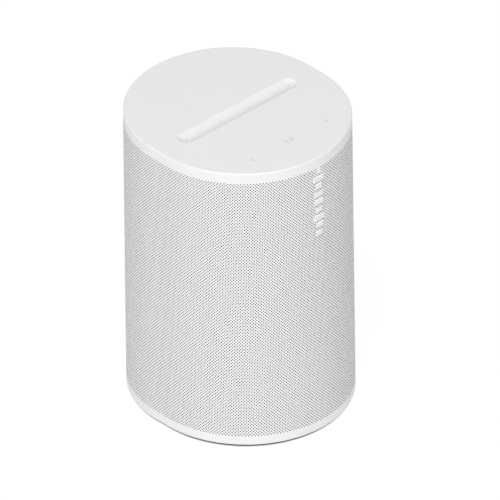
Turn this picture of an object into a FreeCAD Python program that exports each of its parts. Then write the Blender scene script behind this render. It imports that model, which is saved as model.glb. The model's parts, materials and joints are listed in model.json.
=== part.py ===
import FreeCAD, Part
import math
import os
import re
import Sketcher

# Smart speaker: an upright cabinet with two round ends, front towards -Y, top towards +Z.
# The origin is the middle of its footprint on the floor. All lengths are millimetres.

# ---------------------------------------------------------------- driving dimensions

SIZES = {
    # the cabinet as a whole
    "width": 120.0,
    "side_flat": 10.5,
    "height": 182.5,
    "wall": 1.6,
    "seam_gap": 0.3,
    "fit_gap": 0.05,
    "tongue_wall": 1.6,
    "tongue_height": 4.0,
    # top cover with its volume trough, touch icons and microphone holes
    "rim_height": 6.5,
    "top_thickness": 3.6,
    "top_edge_radius": 0.8,
    "trough_span": 77.6,
    "trough_width": 10.4,
    "trough_depth": 1.3,
    "icon_row": 41.5,
    "icon_pitch": 28.0,
    "icon_width": 1.9,
    "icon_height": 3.8,
    "icon_stroke": 0.45,
    "icon_depth": 0.2,
    "port_radius": 0.5,
    # touch board under the cover
    "adhesive_thickness": 0.8,
    "touch_board_thickness": 1.2,
    "touch_board_inset": 4.5,
    "microphone_size": 4.0,
    "microphone_height": 1.1,
    "seal_radius": 2.6,
    # status light and badge on the front
    "light_drop": 9.0,
    "light_radius": 1.0,
    "pipe_length": 3.7,
    "badge_top": 170.0,
    "badge_length": 39.0,
    "badge_width": 7.2,
    "badge_bar": 2.9,
    "badge_count": 8.0,
    "badge_seat": 1.0,
    "badge_proud": 0.45,
    # base, foot ring and threaded insert
    "foot_gap": 1.5,
    "base_height": 6.0,
    "floor_thickness": 4.0,
    "base_edge_radius": 1.2,
    "foot_inset": 6.0,
    "foot_width": 13.0,
    "foot_groove": 1.0,
    "insert_radius": 4.5,
    "insert_bore": 2.5,
    "insert_length": 8.0,
    "insert_wall": 2.2,
    # power inlet and the cable channel behind it
    "plug_width": 16.0,
    "plug_thickness": 10.0,
    "plug_length": 20.0,
    "inlet_place": 41.0,
    "inlet_wall": 1.5,
    "pin_radius": 1.2,
    "pin_pitch": 8.6,
    "pin_length": 10.0,
    "pin_tail": 4.0,
    "channel_width": 8.0,
    "channel_height": 5.0,
    "channel_roof": 1.5,
    # rear panel with the microphone switch, pairing button and data socket
    "panel_width": 16.0,
    "panel_low": 22.0,
    "panel_high": 88.0,
    "panel_gap": 0.2,
    "panel_thickness": 4.05,
    "flange_lip": 2.5,
    "flange_thickness": 1.2,
    "slider_level": 78.0,
    "slider_cap": 5.0,
    "slider_cap_height": 2.6,
    "slider_travel": 2.5,
    "button_level": 62.0,
    "button_radius": 3.0,
    "socket_level": 36.0,
    "socket_width": 8.94,
    "socket_height": 3.26,
    "socket_wall": 0.35,
    "io_board_drop": 5.0,
    "board_thickness": 1.6,
    # sealed speaker enclosure
    "enclosure_inset": 6.0,
    "enclosure_wall": 2.5,
    "lead_room": 5.0,
    "enclosure_high": 166.0,
    "baffle_place": 36.0,
    "enclosure_back": 34.0,
    "enclosure_split": 16.0,
    "gasket_thickness": 1.0,
    "corner_boss": 8.5,
    "corner_boss_place": 34.0,
    "front_boss_length": 14.0,
    "leg_radius": 4.5,
    "leg_side": 42.0,
    "front_leg": 18.0,
    "rear_leg": 24.0,
    "post_radius": 3.5,
    "post_side": 40.0,
    "post_row": 20.0,
    "foam_thickness": 11.0,
    # woofer
    "woofer_level": 88.0,
    "woofer_radius": 43.0,
    "woofer_flange": 2.2,
    "woofer_gasket_thickness": 0.8,
    "flange_width": 5.0,
    "basket_depth": 22.0,
    "basket_plate": 2.0,
    "surround_width": 7.1,
    "coil_radius": 12.3,
    "coil_gap": 0.6,
    "pole_vent": 4.0,
    "top_plate_radius": 28.0,
    "top_plate_thickness": 4.0,
    "magnet_radius": 29.5,
    "magnet_bore": 16.0,
    "magnet_thickness": 16.0,
    "yoke_thickness": 5.0,
    # tweeters and their waveguides
    "tweeter_level": 146.0,
    "tweeter_side": 25.0,
    "mouth_radius": 12.8,
    "throat_radius": 10.6,
    "horn_depth": 5.0,
    "dome_radius": 9.6,
    "dome_height": 3.0,
    "motor_radius": 10.0,
    "motor_flange": 12.4,
    "motor_length": 8.9,
    "guide_wall": 1.4,
    "guide_nose": 10.0,
    "guide_inner": 4.0,
    # main board on the back of the enclosure
    "standoff": 6.0,
    "main_board_width": 76.0,
    "main_board_low": 52.0,
    "board_rise": 28.0,
    "shield_size": 34.0,
    "sink_clearance": 7.0,
    "shield_height": 3.0,
    "shield_wall": 0.5,
    "pad_thickness": 1.0,
    "sink_width": 60.0,
    "sink_height": 54.0,
    "sink_plate": 2.5,
    "fin_height": 5.4,
    "fin_thickness": 1.3,
    "fin_count": 9.0,
    # power board over the base
    "power_board_width": 72.0,
    "power_board_length": 66.0,
    "power_board_front": 44.0,
    "power_board_level": 12.0,
    "capacitor_radius": 8.0,
    "capacitor_height": 20.0,
    "transformer_width": 26.0,
    "transformer_length": 22.0,
    "transformer_height": 18.0,
    "terminal_place": 14.0,
    "terminal_height": 8.0,
    # screws
    "screw_radius": 1.5,
    "screw_head": 2.7,
    "screw_head_height": 1.8,
    "small_screw_radius": 1.0,
    "small_screw_head": 1.9,
    "small_screw_head_height": 1.2,
}

# ------------------------------------------------- places worked out from those sizes

DERIVED = {
    "depth": "width + side_flat",
    "end_offset": "side_flat / 2",
    "front": "-depth / 2",
    "base_top": "foot_gap + base_height",
    "floor_top": "foot_gap + floor_thickness",
    "cover_bottom": "height - rim_height",
    "cover_under": "height - top_thickness",
    "tongue_inset": "wall + seam_gap",
    "tongue_inner": "wall + seam_gap + tongue_wall",
    "trough_round": "(trough_width * trough_width / 4 + trough_depth * trough_depth) / (2 * trough_depth)",
    "adhesive_bottom": "cover_under - adhesive_thickness",
    "touch_bottom": "adhesive_bottom - touch_board_thickness",
    "light_level": "height - light_drop",
    "light_back": "front + tongue_inner + fit_gap",
    "badge_pitch": "(badge_length - badge_bar) / (badge_count - 1)",
    "groove_top": "foot_gap + foot_groove",
    "channel_top": "foot_gap + channel_height",
    "inlet_rear": "inlet_place + plug_thickness / 2",
    "inlet_roof": "floor_top + plug_length",
    "panel_back": "depth / 2 - panel_thickness",
    "io_board_front": "panel_back - io_board_drop - board_thickness",
    "io_board_back": "panel_back - io_board_drop",
    "slider_rest": "-slider_travel / 2",
    "slot_length": "slider_cap + slider_travel + 0.5",
    "baffle_front": "-baffle_place",
    "enclosure_low": "inlet_roof + inlet_wall + pin_tail + lead_room",
    "woofer_opening": "woofer_radius - flange_width",
    "cone_radius": "woofer_opening - surround_width",
    "shield_level": "panel_high + sink_clearance + sink_height / 2",
    "main_board_high": "shield_level + board_rise",
    "main_board_front": "enclosure_back + standoff",
    "main_board_back": "enclosure_back + standoff + board_thickness",
    "sink_front": "main_board_back + shield_height + pad_thickness",
    "flange_front": "-woofer_gasket_thickness - woofer_flange",
    "plate_front": "basket_depth + basket_plate",
    "magnet_front": "plate_front + top_plate_thickness",
    "yoke_front": "magnet_front + magnet_thickness",
    "yoke_back": "yoke_front + yoke_thickness",
    "pole_radius": "coil_radius - coil_gap",
    "coil_outer": "coil_radius + 1.0",
    "flange_screw_ring": "(woofer_radius + woofer_opening) / 2 - 0.5",
    "tweeter_front": "baffle_front - 11.0",
    "motor_back": "horn_depth + 0.1 + motor_length",
    "guide_half": "motor_flange + 0.2 + guide_wall",
    "power_board_top": "power_board_level + board_thickness",
}

WORD = re.compile(r"[a-z_]+")


def expression(text):
    """The text with each named size as a cell of the sheet, and each place worked out."""

    def one(match):
        word = match.group()
        if word in SIZES:
            return "dims." + word
        if word in DERIVED:
            return "(" + expression(DERIVED[word]) + ")"
        return word

    return WORD.sub(one, str(text))


doc = FreeCAD.newDocument("smart_speaker")
sheet = doc.addObject("Spreadsheet::Sheet", "dims")
for row, (alias, value) in enumerate(SIZES.items(), start=1):
    sheet.set(f"A{row}", alias.replace("_", " "))
    sheet.set(f"B{row}", str(value))
    sheet.setAlias(f"B{row}", alias)
doc.recompute()

probe = doc.addObject("App::FeaturePython", "probe")
probe.addProperty("App::PropertyFloat", "Value")
NODES = {}


def bind(thing, **settings):
    """Bind properties of an object to expressions on the sheet."""
    for name, text in settings.items():
        thing.setExpression(name, expression(text))


def number(text):
    """The present value of an expression on the sheet."""
    bind(probe, Value=text)
    probe.recompute()
    return probe.Value


def node(name, thing):
    """Name an object as one piece of the speaker, to be written to its own file."""
    thing.Label = name
    NODES[name] = thing
    return thing


def move(thing, x="0", y="0", z="0"):
    """Bind an object's place."""
    for axis, text in zip("xyz", (x, y, z)):
        thing.setExpression("Placement.Base." + axis, expression(text))
    return thing


# ---------------------------------------------------------------- sketches and features


def new_body(name):
    return doc.addObject("PartDesign::Body", name)


def new_sketch(body, role="XY_Plane", level="0"):
    """A sketch on one of the body's own planes, moved along the plane's normal."""
    sketch = body.newObject("Sketcher::SketchObject", body.Name + "_sketch")
    plane = [feature for feature in body.Origin.OriginFeatures if feature.Role == role][0]
    sketch.AttachmentSupport = (plane, [""])
    sketch.MapMode = "FlatFace"
    sketch.setExpression("AttachmentOffset.Base.z", expression(level))
    return sketch


def constrain(sketch, kind, *where, text):
    """Add one driving constraint, bound to an expression."""
    place = sketch.addConstraint(Sketcher.Constraint(kind, *where, number(text)))
    name = "size_" + str(place)
    sketch.renameConstraint(place, name)
    sketch.setExpression("Constraints." + name, expression(text))


def draw_obround(sketch, inset):
    """Two half circles and two straight sides, a distance inside the cabinet's outline."""
    radius = number(f"width / 2 - ({inset})")
    offset = number("end_offset")
    up = FreeCAD.Vector(0, 0, 1)
    front_circle = Part.Circle(FreeCAD.Vector(0, -offset, 0), up, radius)
    rear_circle = Part.Circle(FreeCAD.Vector(0, offset, 0), up, radius)
    first = sketch.GeometryCount
    sketch.addGeometry(
        [
            Part.ArcOfCircle(front_circle, math.pi, 2 * math.pi),
            Part.LineSegment(FreeCAD.Vector(radius, -offset, 0), FreeCAD.Vector(radius, offset, 0)),
            Part.ArcOfCircle(rear_circle, 0, math.pi),
            Part.LineSegment(FreeCAD.Vector(-radius, offset, 0), FreeCAD.Vector(-radius, -offset, 0)),
        ],
        False,
    )
    front_arc, right_side, rear_arc, left_side = range(first, first + 4)
    for before, after in ((front_arc, right_side), (right_side, rear_arc), (rear_arc, left_side)):
        sketch.addConstraint(Sketcher.Constraint("Tangent", before, 2, after, 1))
    sketch.addConstraint(Sketcher.Constraint("Tangent", left_side, 2, front_arc, 1))
    sketch.addConstraint(Sketcher.Constraint("Equal", front_arc, rear_arc))
    sketch.addConstraint(Sketcher.Constraint("Symmetric", front_arc, 3, rear_arc, 3, -1, 1))
    sketch.addConstraint(Sketcher.Constraint("PointOnObject", front_arc, 3, -2))
    constrain(sketch, "Radius", front_arc, text=f"width / 2 - ({inset})")
    constrain(sketch, "DistanceY", front_arc, 3, rear_arc, 3, text="2 * end_offset")


def draw_polygon(sketch, points):
    """A closed outline whose corners are pairs of expressions."""
    corners = [FreeCAD.Vector(number(x), number(y), 0) for x, y in points]
    count = len(corners)
    first = sketch.GeometryCount
    for here in range(count):
        sketch.addGeometry(Part.LineSegment(corners[here], corners[(here + 1) % count]), False)
    for here in range(count):
        after = first + (here + 1) % count
        sketch.addConstraint(Sketcher.Constraint("Coincident", first + here, 2, after, 1))
    for here, (x, y) in enumerate(points):
        constrain(sketch, "DistanceX", -1, 1, first + here, 1, text=x)
        constrain(sketch, "DistanceY", -1, 1, first + here, 1, text=y)


def draw_rectangle(sketch, left, low, right, high):
    draw_polygon(sketch, [(left, low), (right, low), (right, high), (left, high)])


def draw_circle(sketch, x, y, radius):
    centre = FreeCAD.Vector(number(x), number(y), 0)
    place = sketch.addGeometry(Part.Circle(centre, FreeCAD.Vector(0, 0, 1), number(radius)), False)
    constrain(sketch, "DistanceX", -1, 1, place, 3, text=x)
    constrain(sketch, "DistanceY", -1, 1, place, 3, text=y)
    constrain(sketch, "Radius", place, text=radius)


def pad(body, sketch, length):
    feature = body.newObject("PartDesign::Pad", body.Name + "_pad")
    feature.Profile = sketch
    bind(feature, Length=length)
    doc.recompute()
    return feature


def pocket(body, sketch, length, forward=True):
    """Cut along the sketch's normal, or against it, and make sure that it cut something."""
    before = body.Shape.Volume
    feature = body.newObject("PartDesign::Pocket", body.Name + "_pocket")
    feature.Profile = sketch
    feature.Reversed = forward
    bind(feature, Length=length)
    doc.recompute()
    if body.Shape.Volume >= before:
        raise ValueError("a pocket in " + body.Name + " cuts nothing")
    return feature


def revolve(name, points):
    """A body turned about its own Z axis from a profile of (radius, height) pairs."""
    body = new_body(name)
    sketch = new_sketch(body, "XZ_Plane")
    draw_polygon(sketch, points)
    feature = body.newObject("PartDesign::Revolution", name + "_turn")
    feature.Profile = sketch
    feature.ReferenceAxis = (sketch, ["V_Axis"])
    feature.Angle = 360
    doc.recompute()
    return body


def round_edge(body, level, radius):
    """Round the outer edge that lies at one height."""
    height = number(level)
    solid = body.Shape
    base_feature = body.Tip
    names = []
    for place, edge in enumerate(solid.Edges, start=1):
        box = edge.BoundBox
        if abs(box.ZMin - height) < 1e-6 and abs(box.ZMax - height) < 1e-6:
            names.append("Edge" + str(place))
    feature = body.newObject("PartDesign::Fillet", body.Name + "_round")
    feature.Base = (base_feature, names)
    bind(feature, Radius=radius)
    doc.recompute()


def obround_block(name, inset, low, tall):
    """A solid with the cabinet's outline, a distance inside it."""
    body = new_body(name)
    sketch = new_sketch(body, level=low)
    draw_obround(sketch, inset)
    pad(body, sketch, tall)
    return body


# ---------------------------------------------------------------- primitives and booleans


def box(x, y, z, length, width, height):
    """A block from its lowest corner."""
    thing = doc.addObject("Part::Box", "block")
    bind(thing, Length=length, Width=width, Height=height)
    return move(thing, x, y, z)


def block(x, y, z, length, width, height):
    """A block from the middle of its underside."""
    return box(f"{x} - ({length}) / 2", f"{y} - ({width}) / 2", z, length, width, height)


def rod(x, y, z, radius, length, axis="z"):
    """A cylinder from the middle of one end, along +X, +Y or +Z."""
    thing = doc.addObject("Part::Cylinder", "rod")
    bind(thing, Radius=radius, Height=length)
    turns = {"x": (FreeCAD.Vector(0, 1, 0), 90), "y": (FreeCAD.Vector(1, 0, 0), -90)}
    if axis in turns:
        thing.Placement.Rotation = FreeCAD.Rotation(*turns[axis])
    return move(thing, x, y, z)


def ball(x, y, z, radius):
    thing = doc.addObject("Part::Sphere", "ball")
    bind(thing, Radius=radius)
    return move(thing, x, y, z)


def together(things):
    """One solid from several."""
    thing = doc.addObject("Part::MultiFuse", "joined")
    thing.Shapes = things
    thing.Refine = True
    return thing


def without(base, *tools):
    """The base with the tools cut out of it."""
    thing = doc.addObject("Part::Cut", "cut")
    thing.Base = base
    thing.Tool = tools[0] if len(tools) == 1 else group(tools)
    return thing


def common(first, second):
    thing = doc.addObject("Part::Common", "shared")
    thing.Base = first
    thing.Tool = second
    return thing


def group(things):
    """Several separate solids as one object."""
    thing = doc.addObject("Part::Compound", "group")
    thing.Links = list(things)
    return thing


def screw(x, y, z, axis, reach, radius="screw_radius", head="screw_head", tall="screw_head_height"):
    """A cap screw whose head's underside is at the place, its shank along -axis or +axis."""
    forward = not axis.startswith("-")
    line = axis[-1]
    here = {"x": x, "y": y, "z": z}
    head_at = dict(here)
    shank_at = dict(here)
    if forward:
        head_at[line] = f"{here[line]} - ({tall})"
    else:
        shank_at[line] = f"{here[line]} - ({reach})"
    head_rod = rod(head_at["x"], head_at["y"], head_at["z"], head, tall, line)
    shank = rod(shank_at["x"], shank_at["y"], shank_at["z"], radius, reach, line)
    key = doc.addObject("Part::Prism", "key")
    key.Polygon = 6
    bind(key, Circumradius=f"{head} * 0.45", Height=f"{tall} * 0.6")
    key.Placement.Rotation = head_rod.Placement.Rotation
    key_at = dict(head_at)
    if not forward:
        key_at[line] = f"{here[line]} + ({tall}) * 0.4"
    move(key, key_at["x"], key_at["y"], key_at["z"])
    return without(together([head_rod, shank]), key)


def small_screw(x, y, z, axis, reach):
    return screw(
        x, y, z, axis, reach, "small_screw_radius", "small_screw_head", "small_screw_head_height"
    )


def corners(side, low, high):
    """Four places: left and right of the middle, in two rows."""
    return [(f"{sign}({side})", row) for row in (low, high) for sign in ("-", "")]


# ---------------------------------------------------------------- routes of the leads


def lead(points, radius):
    """A round lead of straight runs joined by arcs as large as the runs allow."""
    places = [FreeCAD.Vector(*[number(text) for text in point]) for point in points]
    edges = []
    start = places[0]
    for before, here, after in zip(places, places[1:], places[2:]):
        inward = (here - before).normalize()
        outward = (after - here).normalize()
        turn = inward.getAngle(outward)
        short = min((here - before).Length, (after - here).Length)
        reach = 0.45 * short
        arc_start = here - inward * reach
        arc_end = here + outward * reach
        bisector = (outward - inward).normalize()
        bend = reach / math.tan(turn / 2)
        middle = here + bisector * (bend / math.cos(turn / 2) - bend)
        edges.append(Part.LineSegment(start, arc_start).toShape())
        edges.append(Part.Arc(arc_start, middle, arc_end).toShape())
        start = arc_end
    edges.append(Part.LineSegment(start, places[-1]).toShape())
    route = Part.Wire(edges)
    ring = Part.Wire([Part.makeCircle(radius, places[0], edges[0].tangentAt(0))])
    tube = route.makePipeShell([ring], True, False)
    expected = math.pi * radius * radius * route.Length
    if abs(tube.Volume - expected) > 0.01 * expected:
        raise ValueError("a lead's volume is wrong")
    return tube


def leads(name, routes, radius):
    thing = doc.addObject("Part::Feature", name)
    thing.Shape = Part.makeCompound([lead(points, radius) for points in routes])
    return thing


# ---------------------------------------------------------------- top cover


def chevron(x, sign):
    """An arrow head of two strokes, pointing along +X or -X."""
    body = new_body("chevron")
    sketch = new_sketch(body, level="height - icon_depth")
    stroke = "icon_stroke * sqrt(2)"
    near = f"({x}) - {sign} * icon_width / 2"
    far = f"({x}) + {sign} * icon_width / 2"
    middle = "-icon_row"
    high = "-icon_row + icon_height / 2"
    low = "-icon_row - icon_height / 2"
    draw_polygon(
        sketch,
        [
            (near, high),
            (f"{near} + {sign} * {stroke}", high),
            (far, middle),
            (f"{near} + {sign} * {stroke}", low),
            (near, low),
            (f"{far} - {sign} * {stroke}", middle),
        ],
    )
    pad(body, sketch, "icon_depth")
    return body


def bar_icon(x):
    return block(x, "-icon_row", "height - icon_depth", "icon_stroke", "icon_height", "icon_depth")


def control_icons():
    """Previous, play or pause, and next, inlaid flush in the cover."""
    play = "-icon_width * 0.9"
    pieces = [chevron("-icon_pitch", -1), chevron(play, 1), chevron("icon_pitch", 1)]
    pieces += [bar_icon("icon_width * 0.75"), bar_icon("icon_width * 1.35")]
    return group(pieces)


def port_places():
    return [f"{sign}trough_span / 2" for sign in ("-", "")]


def post_places():
    return corners("post_side", "-post_row", "post_row")


def top_cover(icons):
    body = new_body("top_cover_shell")
    sketch = new_sketch(body, level="cover_bottom")
    draw_obround(sketch, "0")
    pad(body, sketch, "rim_height")
    round_edge(body, "height", "top_edge_radius")

    hollow = new_sketch(body, level="cover_bottom")
    draw_obround(hollow, "wall")
    pocket(body, hollow, "rim_height - top_thickness")

    tongue = new_sketch(body, level="cover_bottom - tongue_height")
    draw_obround(tongue, "tongue_inset")
    draw_obround(tongue, "tongue_inner")
    pad(body, tongue, "tongue_height + rim_height - top_thickness")

    posts = new_sketch(body, level="enclosure_high")
    for x, y in post_places():
        draw_circle(posts, x, y, "post_radius")
    pad(body, posts, "cover_under - enclosure_high")

    notch = new_sketch(body, "XZ_Plane", "depth / 2 - tongue_inner - 1")
    low = "cover_bottom - tongue_height - 1"
    draw_rectangle(notch, "-3 * light_radius", low, "3 * light_radius", "cover_bottom")
    pocket(body, notch, "tongue_wall + 1 + seam_gap / 2")

    level = "height - trough_depth + trough_round"
    span = rod("-trough_span / 2", "0", level, "trough_round", "trough_span", "x")
    ends = [ball(x, "0", level, "trough_round") for x in port_places()]
    tools = [together([span] + ends), icons]
    tools += [rod(x, "0", "cover_under - 1", "port_radius", "top_thickness + 2") for x in port_places()]
    return without(body, *tools)


def touch_layer(name, low, thickness, opening):
    """A flat layer under the cover, open round the posts and the microphone ports."""
    body = obround_block(name, "touch_board_inset", low, thickness)
    openings = new_sketch(body, level=low)
    for x, y in post_places():
        draw_circle(openings, x, y, "post_radius + 0.5")
    for x in port_places():
        draw_circle(openings, x, "0", opening)
    pocket(body, openings, thickness)
    return body


def microphone_seals():
    rings = []
    for x in port_places():
        ring = rod(x, "0", "adhesive_bottom", "seal_radius", "adhesive_thickness")
        rings.append(without(ring, rod(x, "0", "adhesive_bottom - 1", "port_radius", "adhesive_thickness + 2")))
    return group(rings)


def microphones():
    size = "microphone_size"
    level = "touch_bottom - microphone_height"
    return group([block(x, "0", level, size, size, "microphone_height") for x in port_places()])


def touch_board_parts():
    """The touch controller, two small chips, the ribbon connector and the status light's lamp."""
    lamp = block("0", "light_back + pipe_length - 1", "touch_bottom - 0.8", "1.6", "1.6", "0.8")
    controller = block("14", "-10", "touch_bottom - 1", "7", "7", "1")
    converter = block("-16", "12", "touch_bottom - 1", "5", "5", "1")
    driver = block("4", "-34", "touch_bottom - 0.9", "3", "4", "0.9")
    connector = block("0", "main_board_back + 4.2", "touch_bottom - 2", "16", "3", "2")
    return group([lamp, controller, converter, driver, connector])


def light_pipe():
    """A clear bent pipe: lens through the front wall, mirror bend, foot under the lamp."""
    lens = rod("0", "front + 0.15", "light_level", "light_radius", "light_back - front", "y")
    body = new_body("light_bend")
    sketch = new_sketch(body, "YZ_Plane", "-light_radius * 1.2")
    inner = "light_back + pipe_length"
    draw_polygon(
        sketch,
        [
            ("light_back", "light_level - light_radius * 1.2"),
            ("light_back + pipe_length - 2 * light_radius", "light_level - light_radius * 1.2"),
            (inner, "light_level + light_radius * 0.8"),
            (inner, "touch_bottom - 1.1"),
            ("light_back + pipe_length - 2 * light_radius", "touch_bottom - 1.1"),
            ("light_back + pipe_length - 2 * light_radius", "light_level + light_radius * 1.2"),
            ("light_back", "light_level + light_radius * 1.2"),
        ],
    )
    pad(body, sketch, "light_radius * 2.4")
    return together([lens, body])


# ---------------------------------------------------------------- grille and badge


def badge_levels():
    return [f"badge_top - badge_bar - {step} * badge_pitch" for step in range(int(number("badge_count")))]


def badge_half(step):
    """Half the length of one bar: the bars swell and shrink like a sound wave."""
    swell = round(0.73 + 0.27 * math.cos(step * 2.4), 2)
    return f"badge_width * {swell} / 2"


def grille():
    body = new_body("grille_tube")
    sketch = new_sketch(body, level="base_top")
    draw_obround(sketch, "0")
    draw_obround(sketch, "wall")
    pad(body, sketch, "cover_bottom - base_top")

    window = new_sketch(body, "XZ_Plane")
    side = "panel_width / 2 + panel_gap"
    draw_rectangle(window, f"-({side})", "panel_low - panel_gap", side, "panel_high + panel_gap")
    pocket(body, window, "depth / 2 + 1", forward=False)

    light = new_sketch(body, "XZ_Plane")
    draw_circle(light, "0", "light_level", "light_radius + fit_gap")
    pocket(body, light, "depth / 2 + 1")

    seats = new_sketch(body, "XZ_Plane", "depth / 2 - badge_seat")
    for step, low in enumerate(badge_levels()):
        half = badge_half(step)
        draw_rectangle(seats, f"-({half})", low, half, f"{low} + badge_bar")
    pocket(body, seats, "badge_seat + 1")
    return body


def badge():
    """A plain mark of raised bars, each seated in its own recess in the grille."""
    bars = []
    face = obround_block("badge_face", "-badge_proud", "badge_top - badge_length", "badge_length")
    for step, low in enumerate(badge_levels()):
        half = f"{badge_half(step)} - fit_gap"
        reach = "badge_seat + badge_proud + 1"
        place = f"front + badge_seat - ({reach})"
        bar = box(f"-({half})", place, f"{low} + fit_gap", f"2 * ({half})", reach, "badge_bar - 2 * fit_gap")
        bars.append(common(face, bar))
    return group(bars)


# ---------------------------------------------------------------- base and foot


def leg_places():
    return corners("leg_side", "-front_leg", "rear_leg")


def standoff_places():
    side = "power_board_width / 2 - 5"
    return corners(side, "-power_board_front + 6", "power_board_length - power_board_front - 6")


def base():
    body = new_body("base_shell")
    sketch = new_sketch(body, level="foot_gap")
    draw_obround(sketch, "0")
    pad(body, sketch, "base_height")
    round_edge(body, "foot_gap", "base_edge_radius")

    hollow = new_sketch(body, level="floor_top")
    draw_obround(hollow, "wall")
    pocket(body, hollow, "base_height - floor_thickness")

    tongue = new_sketch(body, level="floor_top")
    draw_obround(tongue, "tongue_inset")
    draw_obround(tongue, "tongue_inner")
    pad(body, tongue, "base_top - floor_top + tongue_height")

    roof = new_sketch(body, level="floor_top")
    side = "channel_width / 2 + channel_roof"
    rear = "depth / 2 - tongue_inner + 0.5"
    draw_rectangle(roof, f"-({side})", "inlet_rear + inlet_wall", side, rear)
    pad(body, roof, "channel_top + channel_roof - floor_top")

    bosses = new_sketch(body, level="floor_top")
    draw_circle(bosses, "0", "0", "insert_radius + insert_wall")
    pad(body, bosses, "foot_gap + insert_length + insert_wall - floor_top")

    pillars = new_sketch(body, level="floor_top")
    for x, y in standoff_places():
        draw_circle(pillars, x, y, "3")
    pad(body, pillars, "power_board_level - floor_top")

    pilots = new_sketch(body, level="floor_top")
    for x, y in standoff_places():
        draw_circle(pilots, x, y, "screw_radius + fit_gap")
    pocket(body, pilots, "power_board_level - floor_top")

    groove = new_sketch(body, level="foot_gap")
    draw_obround(groove, "foot_inset")
    draw_obround(groove, "foot_inset + foot_width")
    pocket(body, groove, "foot_groove")

    heads = new_sketch(body, level="groove_top")
    for x, y in leg_places():
        draw_circle(heads, x, y, "screw_head + seam_gap")
    pocket(body, heads, "screw_head_height + fit_gap")

    shanks = new_sketch(body, level="groove_top")
    for x, y in leg_places():
        draw_circle(shanks, x, y, "screw_radius + fit_gap")
    pocket(body, shanks, "floor_top - groove_top")

    insert = new_sketch(body, level="foot_gap")
    draw_circle(insert, "0", "0", "insert_radius + fit_gap")
    pocket(body, insert, "insert_length")

    mouth = new_sketch(body, level="foot_gap")
    half = "plug_width / 2"
    draw_rectangle(mouth, f"-{half}", "inlet_place - plug_thickness / 2", half, "inlet_rear")
    pocket(body, mouth, "floor_thickness")

    channel = new_sketch(body, level="foot_gap")
    half = "channel_width / 2"
    draw_rectangle(channel, f"-{half}", "inlet_rear - 1", half, "depth / 2 + 1")
    pocket(body, channel, "channel_height")
    return body


def foot_ring():
    """A rubber ring in the base's groove, open where the plug and its cable leave."""
    body = new_body("foot_ring_pad")
    sketch = new_sketch(body)
    draw_obround(sketch, "foot_inset + seam_gap")
    draw_obround(sketch, "foot_inset + foot_width - seam_gap")
    pad(body, sketch, "groove_top")
    opening = new_sketch(body)
    side = "plug_width / 2 + 1"
    draw_rectangle(opening, f"-({side})", "0", side, "depth")
    pocket(body, opening, "groove_top")
    return body


def mount_insert():
    bore, outer = "insert_bore", "insert_radius"
    low = "foot_gap + 0.2"
    high = "foot_gap + insert_length"
    chamfer = "0.5"
    return revolve(
        "mount_insert_turned",
        [
            (f"{bore} + {chamfer}", low),
            (outer, low),
            (outer, high),
            (bore, high),
            (bore, f"{low} + {chamfer}"),
        ],
    )


def base_screws():
    level = "groove_top + screw_head_height + fit_gap"
    return group([screw(x, y, level, "z", "14") for x, y in leg_places()])


# ---------------------------------------------------------------- power inlet


def inlet_pin_places():
    return [f"{sign}pin_pitch / 2" for sign in ("-", "")]


def inlet_screw_places():
    return [f"{sign}(plug_width / 2 + inlet_wall + 3.5)" for sign in ("-", "")]


def inlet_housing():
    """A cup over the opening in the base that the plug goes up into."""
    outer_width = "plug_width + 2 * inlet_wall"
    outer_thickness = "plug_thickness + 2 * inlet_wall"
    cup = block("0", "inlet_place", "floor_top", outer_width, outer_thickness, "plug_length + inlet_wall")
    ears = block("0", "inlet_place", "floor_top", f"{outer_width} + 14", "8", "2")
    cavity = block("0", "inlet_place", "floor_top - 1", "plug_width", "plug_thickness", "plug_length + 1")
    holes = [
        rod(x, "inlet_place", "floor_top + 1", "pin_radius + fit_gap", "plug_length + 4")
        for x in inlet_pin_places()
    ]
    holes += [
        rod(x, "inlet_place", "floor_top - 1", "small_screw_radius + fit_gap", "4")
        for x in inlet_screw_places()
    ]
    return without(together([cup, ears]), cavity, *holes)


def inlet_pins():
    length = "pin_length + inlet_wall + pin_tail"
    return group([rod(x, "inlet_place", "inlet_roof - pin_length", "pin_radius", length) for x in inlet_pin_places()])


# ---------------------------------------------------------------- rear panel


def io_screw_places():
    return ["panel_low + 5", "panel_high - 4"]


def io_panel():
    """The smooth plate in the grille's rear window, with its flange, bosses and openings."""
    face = obround_block("panel_face", "panel_gap", "panel_low - 1", "panel_high - panel_low + 2")
    plate = block("0", "panel_back + 5", "panel_low", "panel_width", "10", "panel_high - panel_low")
    skin = common(face, plate)
    wide = "panel_width + 2 * flange_lip"
    tall = "panel_high - panel_low + 2 * flange_lip"
    middle = "panel_back + flange_thickness / 2"
    flange = block("0", middle, "panel_low - flange_lip", wide, "flange_thickness", tall)
    bosses = [rod("0", "io_board_back", z, "2.5", "io_board_drop", "y") for z in io_screw_places()]
    slot = block(
        "0", "panel_back + 2", "slider_level - slider_cap_height / 2 - 0.25",
        "slot_length", "10", "slider_cap_height + 0.5",
    )
    hole = rod("0", "panel_back - 1", "button_level", "button_radius + 0.3", "10", "y")
    flat = "socket_width - socket_height"
    middle_slot = block(
        "0", "panel_back + 2", "socket_level - socket_height / 2 - 0.25", flat, "10", "socket_height + 0.5"
    )
    slot_ends = [
        rod(f"{sign}({flat}) / 2", "panel_back - 3", "socket_level", "socket_height / 2 + 0.25", "10", "y")
        for sign in ("-", "")
    ]
    mouth = together([middle_slot] + slot_ends)
    pilots = [
        rod("0", "io_board_back - 1", z, "small_screw_radius + fit_gap", "5", "y") for z in io_screw_places()
    ]
    return without(together([skin, flange] + bosses), slot, hole, mouth, *pilots)


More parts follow.
